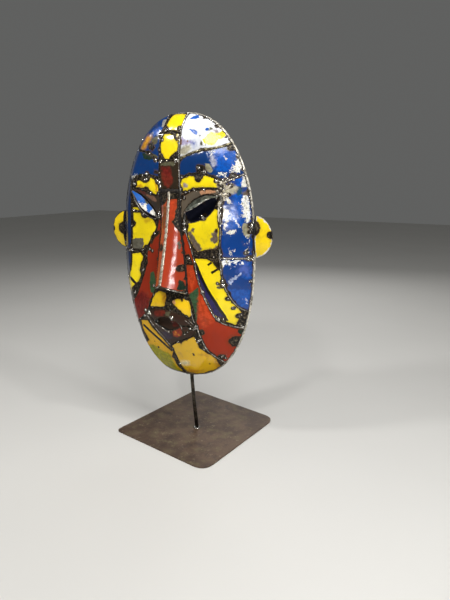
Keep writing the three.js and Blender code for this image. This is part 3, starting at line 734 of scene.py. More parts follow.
def hammered_lift(u, v, from_edge, seed):
    lift = PILLOW * (1 - math.exp(-from_edge / PILLOW_REACH))
    dent = DENT * noise.noise(Vector((u / DENT_WIDTH, v / DENT_WIDTH, seed * 3.7)))
    lift += dent * (1 - math.exp(-from_edge / DENT_REACH))
    ripple = RIPPLE * noise.noise(Vector((u / RIPPLE_WIDTH, v / RIPPLE_WIDTH, seed + 20)))
    return lift + ripple * math.exp(-from_edge / RIPPLE_REACH)


def turned_outwards(faces, points, places):
    """The faces, with each that looks into the mask turned round."""
    turned = []
    for face in faces:
        a, b, c = (places[index] for index in face)
        outwards = face_normal(*points[face[0]]).dot((b - a).cross(c - a)) > 0
        turned.append(face if outwards else face[::-1])
    return turned


def panel_skin(name, look, materials, depth, seed):
    """A scrap of sheet: its outline from the solid, its face domed, dented and rippled at the welds. The
    materials are those of its face, its inside and its cut edge."""
    outline = outlines[name]
    points = np.concatenate([outline, inner_points(outline, seed)])
    count = len(outline)
    corners = [Vector(point) for point in points]
    verts, _, faces, *_ = delaunay_2d_cdt(corners, [], [list(range(count))], 1, 1e-5)
    points = np.array([tuple(vert) for vert in verts])
    burn, edge = burn_at(points, outline, seed, look.get("sound"), look.get("burns"))
    mesh = bpy.data.meshes.new(name + "_sheet")
    places = [face_point(u, v, hammered_lift(u, v, from_edge, seed), depth)
              for (u, v), from_edge in zip(points, edge)]
    mesh.from_pydata(places, [], turned_outwards(faces, points, places))
    values = {"burn": burn}
    for mark, polygons in look["marks"].items():
        values["mark_" + mark] = signed_distance(points, polygons)
    if "flakes" in look:
        values["flaking"] = signed_distance(points, look["flakes"][1])
    set_values(mesh, values)
    for material in materials:
        mesh.materials.append(material)
    piece = linked_object(name + "_sheet", mesh)
    wall = piece.modifiers.new("wall", "SOLIDIFY")
    wall.thickness = SHEET * MM
    wall.offset = -1
    wall.material_offset = 1
    wall.material_offset_rim = 2
    apply_modifiers(piece)
    smooth(piece)
    return piece


# Each panel: its enamel, then as outlines in (u, v) the sound paint where the rest is burnt, patches of
# other colours, some of them painted shade and painted sheen, burns, and the places where it flakes to the
# primer
PANEL_LOOKS = {
    "crown_yellow_upper": dict(
        colour="yellow",
        sound=[[(-18, 258), (-13, 274), (-9, 281), (17, 279), (22, 273), (21, 262), (21, 254), (6, 249),
            (-2, 246), (-8, 248), (-11, 253)], [(5, 248), (20, 253), (24, 243), (19, 239), (12, 243)]],
        marks={
            "pink": [[(5, 248), (20, 253), (24, 243), (19, 239), (12, 243)]]}),
    "crown_yellow_lower": dict(
        colour="yellow",
        sound=[[(-27, 235), (-21, 239), (-9, 240), (0, 237), (6, 230), (13, 223), (16, 218), (15, 208),
            (8, 203), (0, 198), (-8, 188), (-16, 196), (-22, 204), (-26, 214)],
            [(10, 243), (24, 244), (25, 236), (21, 226), (15, 224), (12, 234)]],
        marks={
            "pink": [[(10, 243), (24, 244), (25, 236), (18, 235), (14, 238)]],
            "taupe": [[(11, 236), (19, 236), (21, 226), (16, 224), (11, 230)]]}),
    "forehead_white": dict(
        colour="white",
        marks={
            "cobalt": [[(33, 267), (38, 274), (41, 277), (49, 270), (45, 267)], [(36, 249), (52, 245),
                (59, 242), (58, 235), (53, 237), (45, 242)], [(68, 249), (73, 250), (76, 245),
                (72, 242)]],
            "yellow": [[(71, 225), (74, 231), (78, 241), (84, 240), (90, 240), (95, 246), (102, 241),
                (104, 236), (99, 228), (95, 226), (93, 220), (89, 216), (83, 217), (75, 219)]],
            "olive": [[(74, 250), (79, 251), (80, 246), (75, 243)], [(68, 225), (73, 222), (73, 214),
                (68, 215)], [(76, 218), (81, 217), (79, 214), (75, 215)], [(61, 236), (67, 235),
                (66, 233)]],
            "brown": [[(77, 257), (87, 253), (90, 249), (83, 251)], [(102, 234), (107, 233), (107, 229),
                (102, 230)]],
            "pink": [[(81, 245), (84, 248), (90, 245), (91, 240), (85, 240)]],
            "lilac": [[(20, 216), (22, 234), (30, 231), (43, 226), (52, 221), (43, 218), (33, 217)]],
            "tan": [[(19, 222), (22, 232), (26, 226), (24, 216)], [(34, 226), (40, 226), (42, 221)]],
            "violet": [[(48, 222), (54, 222), (58, 218), (55, 214), (50, 218)]],
            "beige": [[(20, 211), (28, 214), (44, 218), (49, 212), (46, 207), (34, 198), (22, 199)]]}),
    "forehead_blue": dict(
        colour="blue_brow",
        marks={
            "ochre": [[(-64, 239), (-53, 238), (-51, 234), (-69, 210), (-81, 212)]],
            "olive": [[(-52, 232), (-31, 239), (-39, 220), (-51, 221)], [(-80, 212), (-65, 208),
                (-36, 200), (-27, 194), (-44, 194), (-71, 204)]],
            "grey": [[(-32, 268), (-20, 272), (-21, 254), (-31, 254)], [(-54, 244), (-42, 250),
                (-34, 250), (-44, 239)]],
            "azure": [[(-51, 249), (-35, 254), (-26, 253), (-32, 243), (-48, 237)]]},
        burns=[[(-61, 223), (-47, 227), (-40, 215), (-45, 207), (-56, 211)]]),
    "brow_blue_right": dict(
        colour="blue_brow",
        marks={
            "azure": [[(95, 205), (99, 209), (110, 209), (116, 206), (125, 206), (128, 195), (128, 186),
                (128, 167), (114, 166), (106, 167), (101, 169), (100, 184), (95, 194)]],
            "mauve": [[(88, 195), (94, 197), (99, 188), (101, 176), (97, 174), (93, 184)]],
            "khaki": [[(83, 182), (92, 180), (98, 167), (93, 163), (83, 170)]],
            "cream": [[(109, 195), (110, 196), (115, 189), (114, 188)]],
            "dark_green": [[(110, 212), (120, 214), (124, 210), (116, 206), (111, 207)]]},
        burns=[[(62, 176), (70, 180), (81, 178), (84, 173), (79, 166), (73, 158), (62, 165)]],
        flakes=("cream", [[(124, 202), (132, 202), (147, 173), (134, 162), (123, 164), (121, 173),
            (125, 183), (127, 191)], [(100, 169), (118, 167), (124, 158), (107, 156)], [(87, 203),
            (95, 203), (98, 196), (90, 196)]])),
    "brow_blue_left": dict(
        colour="blue_brow",
        marks={
            "dark_green": [[(-75, 206), (-49, 202), (-41, 194), (-52, 190), (-69, 192)], [(-82, 163),
                (-66, 161), (-68, 150), (-81, 152)]]},
        burns=[[(-40, 171), (-32, 170), (-33, 161), (-42, 163)]],
        flakes=("cream", [[(-121, 159), (-87, 163), (-82, 152), (-103, 148)]])),
    "glabella_red": dict(
        colour="char",
        marks={
            "brick": [[(-26, 166), (-4, 167), (7, 156), (7, 147), (-1, 137), (-7, 133), (-15, 141),
                (-23, 156)]],
            "maroon": [[(-22, 176), (-2, 176), (3, 162), (-2, 158), (-18, 164)]],
            "olive": [[(-26, 186), (12, 186), (12, 178), (-26, 179)], [(-28, 150), (-24, 150), (-20, 134),
                (-26, 132)]]}),
    "brow_yellow_right": dict(
        colour="yellow",
        sound=[[(23, 139), (30, 151), (46, 157), (55, 157), (60, 152), (69, 148), (77, 152), (80, 159),
            (94, 156), (105, 151), (115, 147), (117, 136), (110, 134), (106, 135), (94, 137), (77, 136),
            (64, 137), (52, 135), (45, 131), (36, 124), (27, 126), (23, 132)]],
        marks={
            "pink": [[(32, 144), (37, 145), (43, 140), (40, 135), (32, 137)]],
            "taupe": [[(107, 147), (116, 147), (117, 136), (109, 134), (106, 140)]],
            "brown": [[(108, 146), (110, 146), (111, 140), (109, 140)]]}),
    "brow_yellow_left": dict(
        colour="yellow",
        sound=[[(-91, 147), (-78, 148), (-71, 144), (-61, 143), (-54, 147), (-50, 154), (-39, 148),
            (-31, 140), (-30, 130), (-39, 119), (-48, 126), (-55, 132), (-56, 136), (-64, 138),
            (-72, 135), (-90, 135)]],
        marks={
            "orange": [[(-41, 147), (-37, 146), (-33, 136), (-35, 126), (-39, 126), (-37, 136)],
                [(-90, 139), (-75, 141), (-73, 137), (-88, 136)]]}),
    "eyelid_strip_right": dict(
        colour="bare",
        marks={
            "salmon": [[(70, 127), (73, 131), (88, 134), (105, 133), (105, 127), (88, 124), (72, 121)]],
            "char": [[(18, 117), (35, 126), (52, 131), (53, 127), (35, 118), (21, 104)]]},
        gloss=0.4),
    "eyelid_strip_left": dict(
        colour="char",
        marks={
            "tan": [[(-66, 120), (-54, 120), (-42, 116), (-36, 107), (-43, 105), (-56, 111)]],
            "maroon": [[(-88, 133), (-73, 128), (-67, 121), (-74, 120)]]},
        gloss=0.4),
    "side_blue_right": dict(
        colour="blue",
        marks={
            # The azure band down the right half of the side is the light-blue sheen it shows, painted on:
            # painted reflection.
            "azure": [[(133, 152), (138, 157), (142, 152), (145, 127), (146, 107), (150, 103), (148, 90),
                (154, 76), (146, 58), (139, 56), (130, 57), (122, 63), (129, 90), (133, 105), (132, 121),
                (134, 136)]],
            "teal": [[(136, 141), (144, 134), (145, 123), (138, 120), (134, 132)]],
            "cream": [[(116, 94), (120, 96), (126, 94), (129, 87), (125, 78), (119, 75), (117, 84)],
                [(120, 57), (122, 67), (124, 74), (129, 77), (129, 73), (125, 64), (123, 56)],
                [(126, 49), (130, 53), (139, 54), (138, 50), (133, 46), (130, 45)], [(118, 126), (122, 123),
                (127, 114), (132, 104), (131, 101), (126, 107), (121, 114), (119, 120)], [(141, 158),
                (148, 160), (150, 145), (150, 136), (144, 136)]],
            "khaki": [[(121, 140), (128, 143), (133, 137), (126, 134), (125, 123), (120, 123),
                (117, 136)], [(147, 59), (151, 68), (156, 66), (160, 52), (160, 37), (152, 43)],
                [(112, 57), (118, 56), (120, 46), (114, 41), (112, 46)]],
            "taupe": [[(108, 92), (117, 102), (119, 67), (114, 61), (110, 79)], [(144, 127), (154, 129),
                (155, 120), (146, 120)], disc(131, 132, 5)],
            "beige": [disc(127, 133, 10)],
            "white": [[(146, 120), (155, 118), (158, 89), (159, 71), (154, 67), (153, 78), (148, 90),
                (150, 105), (145, 107)], [(134, 76), (136, 78), (146, 60), (144, 59)]],
            "dark_green": [[(152, 8), (158, 18), (160, 6), (153, 3)]]},
        flakes=("cream", [[(142, 121), (158, 120), (160, 66), (150, 66), (145, 90)], [(112, 123),
            (119, 121), (121, 90), (117, 63), (113, 63)], [(127, 19), (138, 17), (138, 3), (130, 3)],
            [(152, 44), (160, 44), (160, 8), (154, 4), (156, 27)], [(126, 55), (140, 55), (138, 45),
            (128, 43)]])),
    "side_blue_left": dict(
        # The left side panel takes a darker copy of the blue, for the shade it lies in: painted shade.
        colour="blue_painted_shade",
        marks={}),
    "cheek_yellow_right": dict(
        colour="yellow",
        sound=[[(43, 67), (59, 70), (72, 74), (77, 70), (84, 72), (86, 83), (92, 89), (103, 94),
            (111, 92), (108, 79), (111, 59), (113, 57), (113, 28), (111, 27), (109, 18), (90, 16),
            (75, 12), (65, 9), (57, 16), (46, 33), (42, 41), (42, 38), (42, 49), (45, 58)]],
        marks={
            "taupe": [[(49, 49), (52, 57), (58, 55), (56, 47)], [(40, 48), (47, 49), (53, 43), (59, 36),
                (62, 29), (69, 26), (75, 16), (69, 9), (57, 13), (45, 31)], [(86, 12), (92, 17), (100, 17),
                (107, 23), (113, 25), (109, 13), (92, 10)], [(105, 56), (111, 57),
                (111, 31), (104, 27), (94, 32), (94, 37), (99, 41), (97, 47), (102, 51)]],
            "brown": [[(104, 55), (112, 59), (112, 52), (107, 49)]]}),
    "cheek_yellow_left": dict(
        colour="yellow",
        sound=[[(-102, 80), (-84, 81), (-78, 71), (-69, 69), (-62, 72), (-50, 70), (-43, 62), (-39, 53),
            (-41, 46), (-50, 38), (-55, 32), (-54, 24), (-64, 16), (-72, 14), (-81, 2), (-108, 0),
            (-108, 24), (-104, 26), (-105, 47), (-94, 55), (-93, 61), (-100, 67)], [(-103, 92), (-88, 92),
            (-87, 88), (-103, 88)]],
        marks={
            "stone": [[(-108, 25), (-86, 28), (-76, 28), (-73, 14), (-82, 2), (-109, 0)]],
            "ochre": [[(-69, 65), (-56, 68), (-57, 65), (-67, 63)]],
            "olive": [[(-55, 32), (-41, 45), (-36, 43), (-45, 29), (-54, 23)]]}),
    "cheek_band_yellow_right": dict(
        colour="yellow",
        sound=[[(58, -7), (83, -6), (97, -10), (101, -15), (111, -25), (116, -26), (117, -46), (121, -62),
            (132, -89), (142, -111), (145, -118), (137, -136), (134, -143), (124, -136), (118, -130),
            (112, -127), (103, -118), (94, -100), (82, -83), (72, -66), (65, -47), (58, -33)]],
        marks={
            "navy": [[(57, -15), (64, -26), (74, -43), (89, -68), (109, -95), (121, -123), (122, -133),
                (112, -127), (102, -118), (93, -100), (82, -83), (71, -66), (64, -47), (58, -33)]],
            "black": [[(58, -13), (62, -15), (75, -41), (90, -66), (110, -92), (121, -120), (125, -134),
                (121, -134), (117, -121), (104, -95), (85, -70), (70, -45), (58, -21)], [(86, -16),
                (96, -9), (99, -12), (89, -19)], [(94, -31), (111, -21), (114, -24), (98, -35)],
                [(107, -52), (115, -50), (115, -54), (109, -57)], [(123, -85), (128, -84), (129, -88),
                (124, -90)], [(130, -106), (137, -104), (138, -109), (130, -110)], [(137, -125),
                (141, -122), (144, -126), (139, -130)]],
            "olive": [[(108, -59), (120, -57), (121, -64), (109, -64)], [(137, -138), (148, -130),
                (155, -133), (148, -151), (136, -146)]]}),
    "cheek_band_yellow_left": dict(
        colour="yellow",
        sound=[[(-109, -9), (-86, -5), (-77, -12), (-84, -27), (-89, -43), (-86, -54), (-93, -67),
            (-100, -73), (-113, -84), (-125, -96), (-150, -104), (-158, -90), (-140, -72), (-122, -58),
            (-112, -34)]],
        marks={
            "black": [[(-126, -62), (-114, -60), (-94, -75), (-99, -79)]]}),
    "jaw_blue_right": dict(
        colour="blue",
        marks={
            "azure": [[(128, -65), (160, -69), (159, -87), (155, -107), (148, -109), (137, -89),
                (131, -77)], [(150, -9), (162, -10), (162, -47), (152, -44), (146, -29)]],
            # The soft violet patch on the jaw is a reflection painted on the blue: painted reflection.
            "violet": [[(144, -18), (154, -13), (160, -23), (159, -36), (150, -35), (145, -29)]],
            "khaki": [[(115, -8), (127, -4), (130, -8), (122, -18), (121, -22), (115, -21)]],
            "scuff": [[(126, -51), (132, -55), (138, -46), (150, -33), (149, -31), (139, -39),
                (133, -43)], [(151, -86), (153, -86), (157, -98), (155, -98)]]},
        flakes=("white", [[(116, -3), (152, -5), (154, -15), (150, -19), (142, -12), (133, -22),
            (129, -15), (123, -18), (116, -17)]])),
    "jaw_blue_left": dict(
        # The left jaw takes a darker copy of the blue, for the shade it lies in: painted shade.
        colour="blue_painted_shade",
        marks={}),
    "face_red_right": dict(
        colour="red",
        sheen=0.2,
        marks={
            "green": [[(42, -84), (66, -64), (68, -84), (71, -102), (66, -129), (60, -147), (53, -121),
                (52, -103), (46, -89)], [(67, -155), (77, -155), (78, -165), (69, -171)]],
            "vermilion": [[(31, -23), (52, -20), (61, -51), (52, -74), (44, -60), (32, -41)], [(67, -84),
                (81, -86), (100, -118), (108, -129), (77, -151), (67, -129)]],
            "dark_green": [[(136, -153), (148, -157), (143, -171), (136, -164)]],
            "char": [[(27, 0), (44, 3), (49, -6), (55, -20), (31, -22)], [(8, 74), (18, 79), (27, 70),
                (34, 45), (30, 36), (23, 46), (10, 60)]]},
        burns=[[(123, -184), (133, -171), (143, -178), (142, -192), (120, -198)], [(55, -166), (69, -180),
            (81, -195), (95, -220), (100, -239), (89, -249), (81, -212), (62, -194)]]),
    "face_red_left": dict(
        # The left red is a darker copy of the red, for the side that turns away from the light: painted
        # shade.
        colour="red_painted_shade",
        sheen=0.2,
        marks={
            "green": [[(-57, -45), (-48, -42), (-43, -56), (-40, -84), (-45, -90), (-55, -88),
                (-59, -66)], [(-78, -102), (-57, -103), (-60, -113), (-76, -118)]],
            # The broad maroon over the lower left darkens the red towards the edge that turns away from the
            # light: painted shade.
            "maroon": [[(-79, -89), (-57, -103), (-62, -125), (-80, -150), (-180, -177), (-180, -130),
                (-110, -104)]],
            "char": [[(-38, 46), (-29, 48), (-29, 41), (-45, 28), (-51, 16), (-58, 18)]]}),
    "upper_lip_yellow_left": dict(
        colour="yellow_warm",
        sound=[[(-56, -117), (-44, -92), (-30, -82), (-13, -85), (-10, -91), (-14, -114), (-32, -117),
            (-44, -121)]],
        marks={
            "ochre": [[(-21, -88), (-9, -86), (-9, -110), (-20, -105)]]}),
    "upper_lip_yellow_right": dict(
        colour="yellow_warm",
        sound=[[(5, -100), (18, -94), (27, -93), (30, -97), (34, -92), (46, -96), (51, -116), (53, -122),
            (46, -131), (36, -127), (30, -118), (15, -107)]],
        marks={
            "salmon": [[(5, -98), (12, -95), (15, -104), (9, -106)]],
            "brown": [[(27, -93), (33, -92), (32, -98), (29, -99)]]}),
    "lip_upper": dict(
        colour="lip",
        sheen=0.25,
        marks={
            "brick": [[(-42, -128), (-13, -120), (-8, -126), (-15, -134), (-38, -138), (-41, -134)]],
            "olive": [[(-8, -124), (4, -122), (2, -132), (-7, -132)]],
            "brown": [[(-75, -134), (-51, -126), (-43, -141), (-67, -146)]]},
        gloss=0.35),
    "lip_lower": dict(
        colour="lip",
        sheen=0.25,
        marks={
            "plum": [[(-36, -177), (-13, -169), (2, -172), (0, -185), (-14, -189), (-31, -185)]],
            "ember": [[(6, -166), (14, -157), (26, -155), (31, -163), (27, -172), (16, -179), (5, -178)]],
            "orange": [disc(14, -166, 2.2), disc(20, -172, 1.6), disc(11, -172, 1.4)]},
        gloss=0.35),
    "chin_yellow": dict(
        # The chin takes a darker copy of the yellow, for the lower light that reaches it: painted shade.
        colour="yellow_chin_painted_shade",
        sound=[[(-10, -205), (2, -189), (13, -191), (20, -196), (34, -181), (51, -171), (58, -181),
            (63, -198), (76, -206), (85, -214), (90, -224), (89, -250), (80, -259), (66, -262),
            (52, -268), (32, -267), (17, -266), (6, -250), (1, -231)], [(6, -265), (24, -268),
            (44, -271), (48, -277), (30, -282), (8, -279)]],
        marks={
            "stone": [[(4, -262), (17, -267), (32, -268), (52, -269), (54, -279), (28, -284), (4, -280)]],
            "smear": [[(4, -244), (19, -237), (33, -236), (31, -245), (12, -251)]],
            "brown": [[(44, -213), (50, -212), (51, -218), (46, -219)], [(76, -235), (79, -237),
                (76, -241)], [(35, -185), (38, -185), (37, -189)]],
            "ochre": [[(89, -225), (90, -249), (81, -256)], [(24, -257), (59, -256), (39, -267),
                (16, -268)], [(60, -214), (81, -210), (79, -215)]]}),
    "chin_strip_left": dict(
        colour="yellow_deep",
        sheen=0.3,
        sound=[[(-88, -158), (-68, -154), (-57, -168), (-30, -190), (-7, -219), (-14, -234), (-8, -237),
            (-6, -254), (4, -270), (-13, -275), (-44, -265), (-80, -245), (-96, -228), (-84, -214),
            (-70, -202), (-76, -190), (-84, -176)]],
        marks={
            "lime": [[(-104, -232), (-68, -214), (-60, -212), (-40, -221), (-26, -223), (-15, -228),
                (-10, -255), (3, -270), (-15, -282), (-60, -270), (-92, -250)]],
            "black": [[(-83, -163), (-70, -170.5), (-53, -181.5), (-37, -192.5), (-24, -202.5), (-8, -215),
                (-9, -221), (-27, -207.5), (-40, -198), (-56, -187), (-73, -176), (-84, -169)], [(-57, -202),
                (-54, -201), (-54, -205)], [(-48, -213), (-43, -213), (-45, -218), (-49, -218)]],
            "navy": [[(-102, -222), (-82, -210), (-86, -222), (-100, -232)]]}),
}


def hand_over(piece, name):
    """Puts a finished sheet in the place of its solid."""
    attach(piece, "root")
    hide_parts(name)


def build_panels():
    for seed, name in enumerate(PANELS):
        look = PANEL_LOOKS[name]
        is_lip = name.startswith("lip_")
        flakes = look["flakes"][0] if "flakes" in look else None
        paint = burnt_enamel(name + "_enamel", ENAMEL[look["colour"]], look["marks"], flakes,
                             look.get("gloss", 0.16), seed * 0.37, look.get("sheen", 0.5))
        edge = steel["burnt_cut_edge" if is_lip else "ground_cut_edge"]
        depth = lip_depth if is_lip else face_depth
        hand_over(panel_skin(name, look, (paint, steel["drum_steel_inside"], edge), depth, seed), name)


build_panels()


# Bent sheets that keep the solid's own faces, rounded: the nose, the eyelids, the plates and the ears
SHARP_EDGE = math.radians(50)


def is_sharp(edge):
    return edge.is_manifold and edge.calc_face_angle() > SHARP_EDGE


def rounded_copy(name, levels):
    copy = merged_copy(name)
    bmesh.ops.join_triangles(copy, faces=copy.faces, angle_face_threshold=SHARP_EDGE,
                             angle_shape_threshold=math.radians(60), cmp_seam=False, cmp_sharp=False,
                             cmp_uvs=False, cmp_vcols=False, cmp_materials=False)
    crease = copy.edges.layers.float.new("crease_edge")
    for edge in copy.edges:
        if is_sharp(edge):
            edge[crease] = 1.0
    piece = object_of(copy, name + "_sheet")
    division = piece.modifiers.new("rounding", "SUBSURF")
    division.levels = levels
    division.render_levels = levels
    apply_modifiers(piece)
    return piece


EDGE_BURN_WAVE = 11
SMALL_DENT_WIDTH = 22


def dress_sheet(name, material, levels=3, burn_width=5.0, marks=None, flaking=None, dent=0.5, seed=0,
                edge_material=None, bare_rim=0.0, bare_inside=True):
    """Rounds a bent sheet, dents it a little and marks where it is scorched and how wide its rim is bare.
    Its inside is unpainted where it has one."""
    piece = rounded_copy(name, levels)
    mesh = piece.data
    tree = nearest_tree(edge_loop_points(name))
    burn = []
    rim_distance = []
    for vert in mesh.vertices:
        u, v = to_uv(vert.co)
        distance = tree.find(vert.co)[2] / MM
        rim_distance.append(distance)
        width = burn_width * (1 + 0.9 * noise.noise(Vector((u / EDGE_BURN_WAVE, v / EDGE_BURN_WAVE, seed))))
        value = 1 - distance / max(width, 0.8)
        for su, sv, radius in burn_spots + EAR_SCORCHES:
            value = max(value, WELD_HEAT * (1 - math.hypot(u - su, v - sv) / radius))
        burn.append(max(value, SOUND))
    normals = [vert.normal.copy() for vert in mesh.vertices]
    for vert, normal in zip(mesh.vertices, normals):
        u, v = to_uv(vert.co)
        wave = noise.noise(Vector((u / SMALL_DENT_WIDTH, v / SMALL_DENT_WIDTH, seed + 5)))
        vert.co += normal * dent * MM * wave
    points = np.array([to_uv(vert.co) for vert in mesh.vertices])
    values = {"burn": burn}
    for mark, polygons in (marks or {}).items():
        values["mark_" + mark] = signed_distance(points, polygons)
    if bare_rim:
        values["mark_cream"] = bare_rim - np.array(rim_distance)
    if flaking:
        values["flaking"] = signed_distance(points, flaking)
    set_values(mesh, values)
    mesh.materials.clear()
    for part_material in (material, steel["drum_steel_inside"], edge_material or material):
        mesh.materials.append(part_material)
    for face in mesh.polygons:
        if abs(face.normal.y) < 0.3:
            face.material_index = 2
        elif face.normal.y > 0 and bare_inside:
            face.material_index = 1
    smooth(piece, 35)
    hand_over(piece, name)


# The step between the points of a line for beads or burns
LINE_STEP = 2.0 * MM


def edge_loop_points(name):
    """Points along the sharp edges of a sheet, a few millimetres apart."""
    copy = merged_copy(name)
    points = []
    for edge in copy.edges:
        if is_sharp(edge):
            a, b = (vert.co for vert in edge.verts)
            steps = max(1, int((b - a).length / LINE_STEP))
            points += [a.lerp(b, k / steps) for k in range(steps + 1)]
    copy.free()
    return points


NOSE_MARKS = {
    "nose_right": {
        "char": [[(17, 126), (17, 93), (16, 73), (8, 69), (15, 57), (20, 50), (24, 40), (27, 33), (34, 33),
                  (35, 60), (31, 90), (29, 126)], [(-3, 134), (28, 134), (24, 112), (0, 111)]],
        "vermilion": [[(5, 111), (16, 107), (17, 86), (14, 73), (8, 81)]],
        "dark_green": [[(29, -50), (36, -56), (40, -72), (28, -72)]],
        "stone": [[(21, 26), (24, 29), (27, 21), (26, 10), (23, 16)]]},
    "nose_left": {
        "char": [[(-30, 134), (3, 134), (-4, 108), (-14, 99), (-28, 100)],
                 [(-16, 20), (-6, 24), (-10, 6), (-18, 8)]],
        "rust": [[(-19, 98), (-4, 98), (-6, 50), (-14, 54)]]}}
nose_red = burnt_enamel("nose_red_enamel", "#ab3b20", NOSE_MARKS["nose_right"], None, 0.15, 7.1)
dress_sheet("nose_right", nose_red, burn_width=1.2, seed=3, marks=NOSE_MARKS["nose_right"])
# The left sheet of the nose has its own copy of the red, toned to how that side shows in its shade: painted
# shade.
nose_shade = burnt_enamel("nose_left_shaded_red_enamel", "#bb5230", NOSE_MARKS["nose_left"], None, 0.2, 8.3)
dress_sheet("nose_left", nose_shade, burn_width=2.6, seed=4, marks=NOSE_MARKS["nose_left"])
# The plate under the nose is near black and matt for the shade that falls there: partly painted shade.
dress_sheet("nose_underside", steel["burnt_scale_and_shade"], levels=2, bare_inside=False)

dress_sheet("eye_visor_right", steel["worn_lid_steel"], dent=0.6, seed=5, edge_material=steel["weld_metal"])
LID_MARKS = {
    "cream": [[(-48, 96), (-38, 94), (-26, 74), (-34, 70), (-46, 82)],
              [(-104, 126), (-98, 118), (-76, 92), (-84, 90), (-104, 114)]],
    "dark_green": [[(-68, 112), (-58, 106), (-60, 100), (-66, 104)]]}
lid_blue = burnt_enamel("left_lid_enamel", "#1f5cab", LID_MARKS, "cream", 0.2, 9.2)
dress_sheet("eye_visor_left", lid_blue, burn_width=1.2, dent=0.6, seed=6, marks=LID_MARKS,
            flaking=[[(-100, 118), (-60, 100), (-40, 76), (-70, 80)]], edge_material=steel["weld_metal"])
# The eye plates are near-black navy to stand for the deep shade in the eye hollows: painted shade.
eye_hollow_shade = burnt_enamel("eye_hollow_painted_shade_enamel", "#070a1c", {}, None, 0.8, 10.1, sheen=0.15)
dress_sheet("eye_plate_right", eye_hollow_shade, burn_width=3, seed=7)
dress_sheet("eye_plate_left", eye_hollow_shade, burn_width=3, seed=8)
MOUTH_MARKS = {"brick": [[(-4, -148), (14, -144), (18, -154), (2, -158)]]}
mouth_brown = burnt_enamel("mouth_burnt_enamel", "#38261a", MOUTH_MARKS, None, 0.5, 12.4, sheen=0.25)
dress_sheet("mouth_plate", mouth_brown, burn_width=2, seed=9, marks=MOUTH_MARKS)
ear_paint = burnt_enamel("ear_enamel", "#f8d414", ["cream"], None, 0.18, 11.5)
ear_edge = steel["ground_cut_edge"]
dress_sheet("ear_right", ear_paint, burn_width=0.8, seed=10, edge_material=ear_edge, bare_rim=2.4)
dress_sheet("ear_left", ear_paint, burn_width=2.0, seed=11, edge_material=ear_edge, bare_rim=0.5)
dress_sheet("rim_bar", steel["rim_bar_steel"], levels=2, dent=0.3, bare_inside=False)
dress_sheet("stand_rod", steel["rod_steel"], levels=2, dent=0.2, bare_inside=False)

nodes["base_plate"].data.materials.clear()
nodes["base_plate"].data.materials.append(rusty_plate("oiled_rust_plate"))


# Welds
FORWARD = Vector((0, -1, 0))


def add_tube(beads, points, radius, ripple, sides, outs=None, flat=1.15, number=0.0):
    """A rippled tube of weld metal along points. Outs are the way out at each, else it is forward, and flat
    is how much wider than thick the tube is."""
    rings = []
    for i, (point, out) in enumerate(zip(points, outs or [FORWARD] * len(points))):
        along = points[min(i + 1, len(points) - 1)] - points[max(i - 1, 0)]
        if along.length < 1e-7:
            continue
        across = along.normalized().cross(out).normalized()
        swell = radius * (1 + ripple * noise.noise(point / (4.5 * MM) + Vector((number, 0, 0))))
        swell *= min(1, (i + 0.6) / 1.5, (len(points) - i - 0.4) / 1.5)
        ring = []
        for k in range(sides):
            angle = math.tau * k / sides
            reach = swell * MM * (1 + 0.25 * noise.noise(point / (2 * MM) + Vector((0, 0, k * 1.7))))
            direction = across * math.cos(angle) * flat + out * math.sin(angle)
            ring.append(beads.verts.new(point + direction * reach))
        rings.append(ring)
    for ring, following in zip(rings, rings[1:]):
        for k in range(sides):
            beads.faces.new((ring[k], ring[(k + 1) % sides], following[(k + 1) % sides], following[k]))
    if rings:
        beads.faces.new(rings[0][::-1])
        beads.faces.new(rings[-1])


def finished_beads(beads, name, finish):
    bmesh.ops.recalc_face_normals(beads, faces=beads.faces)
    piece = object_of(beads, name)
    piece.data.materials.append(steel[finish])
    smooth(piece, 60)
    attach(piece, "root")


def seam_beads(name, lines, radius, ripple, sides, finish, lift):
    """Weld beads along lines of (u, v), sunk in the seam or lifted out of it."""
    beads = bmesh.new()
    for number, (line, depth) in enumerate(lines):
        points = [face_point(u, v, lift, depth) for u, v in line]
        outs = [face_normal(u, v, depth) for u, v in line]
        add_tube(beads, points, radius, ripple, sides, outs, number=number * 3.1)
    finished_beads(beads, name, finish)


def depth_for(name, beside):
    return lip_depth if name.startswith("lip_") or beside.startswith("lip_") else face_depth


# Seams whose weld is ground bright, the one that is tinted, beads and lumps that lie on no seam
BRIGHT_SEAMS = {
    ("cheek_band_yellow_right", "face_red_right"), ("cheek_band_yellow_right", "jaw_blue_right"),
    ("chin_yellow", "face_red_right"), ("crown_yellow_lower", "forehead_white"),
    ("crown_yellow_upper", "forehead_white"), ("brow_blue_right", "glabella_red"),
    ("brow_yellow_right", "glabella_red"), ("cheek_yellow_right", "face_red_right"),
    ("cheek_yellow_right", "side_blue_right"), ("chin_strip_left", "lip_lower"),
    ("jaw_blue_right", "side_blue_right"), ("brow_blue_right", "side_blue_right"),
}
BRONZE_SEAMS = {("brow_blue_right", "forehead_white")}
LOOSE_BEADS = [
    ([(-103, 126), (-98, 108), (-86, 91), (-70, 80), (-54, 72), (-40, 71), (-33, 74)], face_depth),
    ([(-25, -158), (-21, -161), (-16, -163), (-12, -166), (-8, -167)], lip_depth),
    ([(-39, -153), (-37, -156), (-34, -154), (-33, -157), (-30, -157), (-29, -160)], lip_depth),
    ([(26, -148), (29, -149), (30, -154), (31, -160)], lip_depth),
    ([(38, -136), (42, -139), (46, -142), (50, -146), (54, -151)], lip_depth),
    ([(46, -135), (51, -140), (57, -145)], lip_depth),
    ([(51, -112), (52, -118), (54, -128), (57, -138), (59, -147)], face_depth),
]
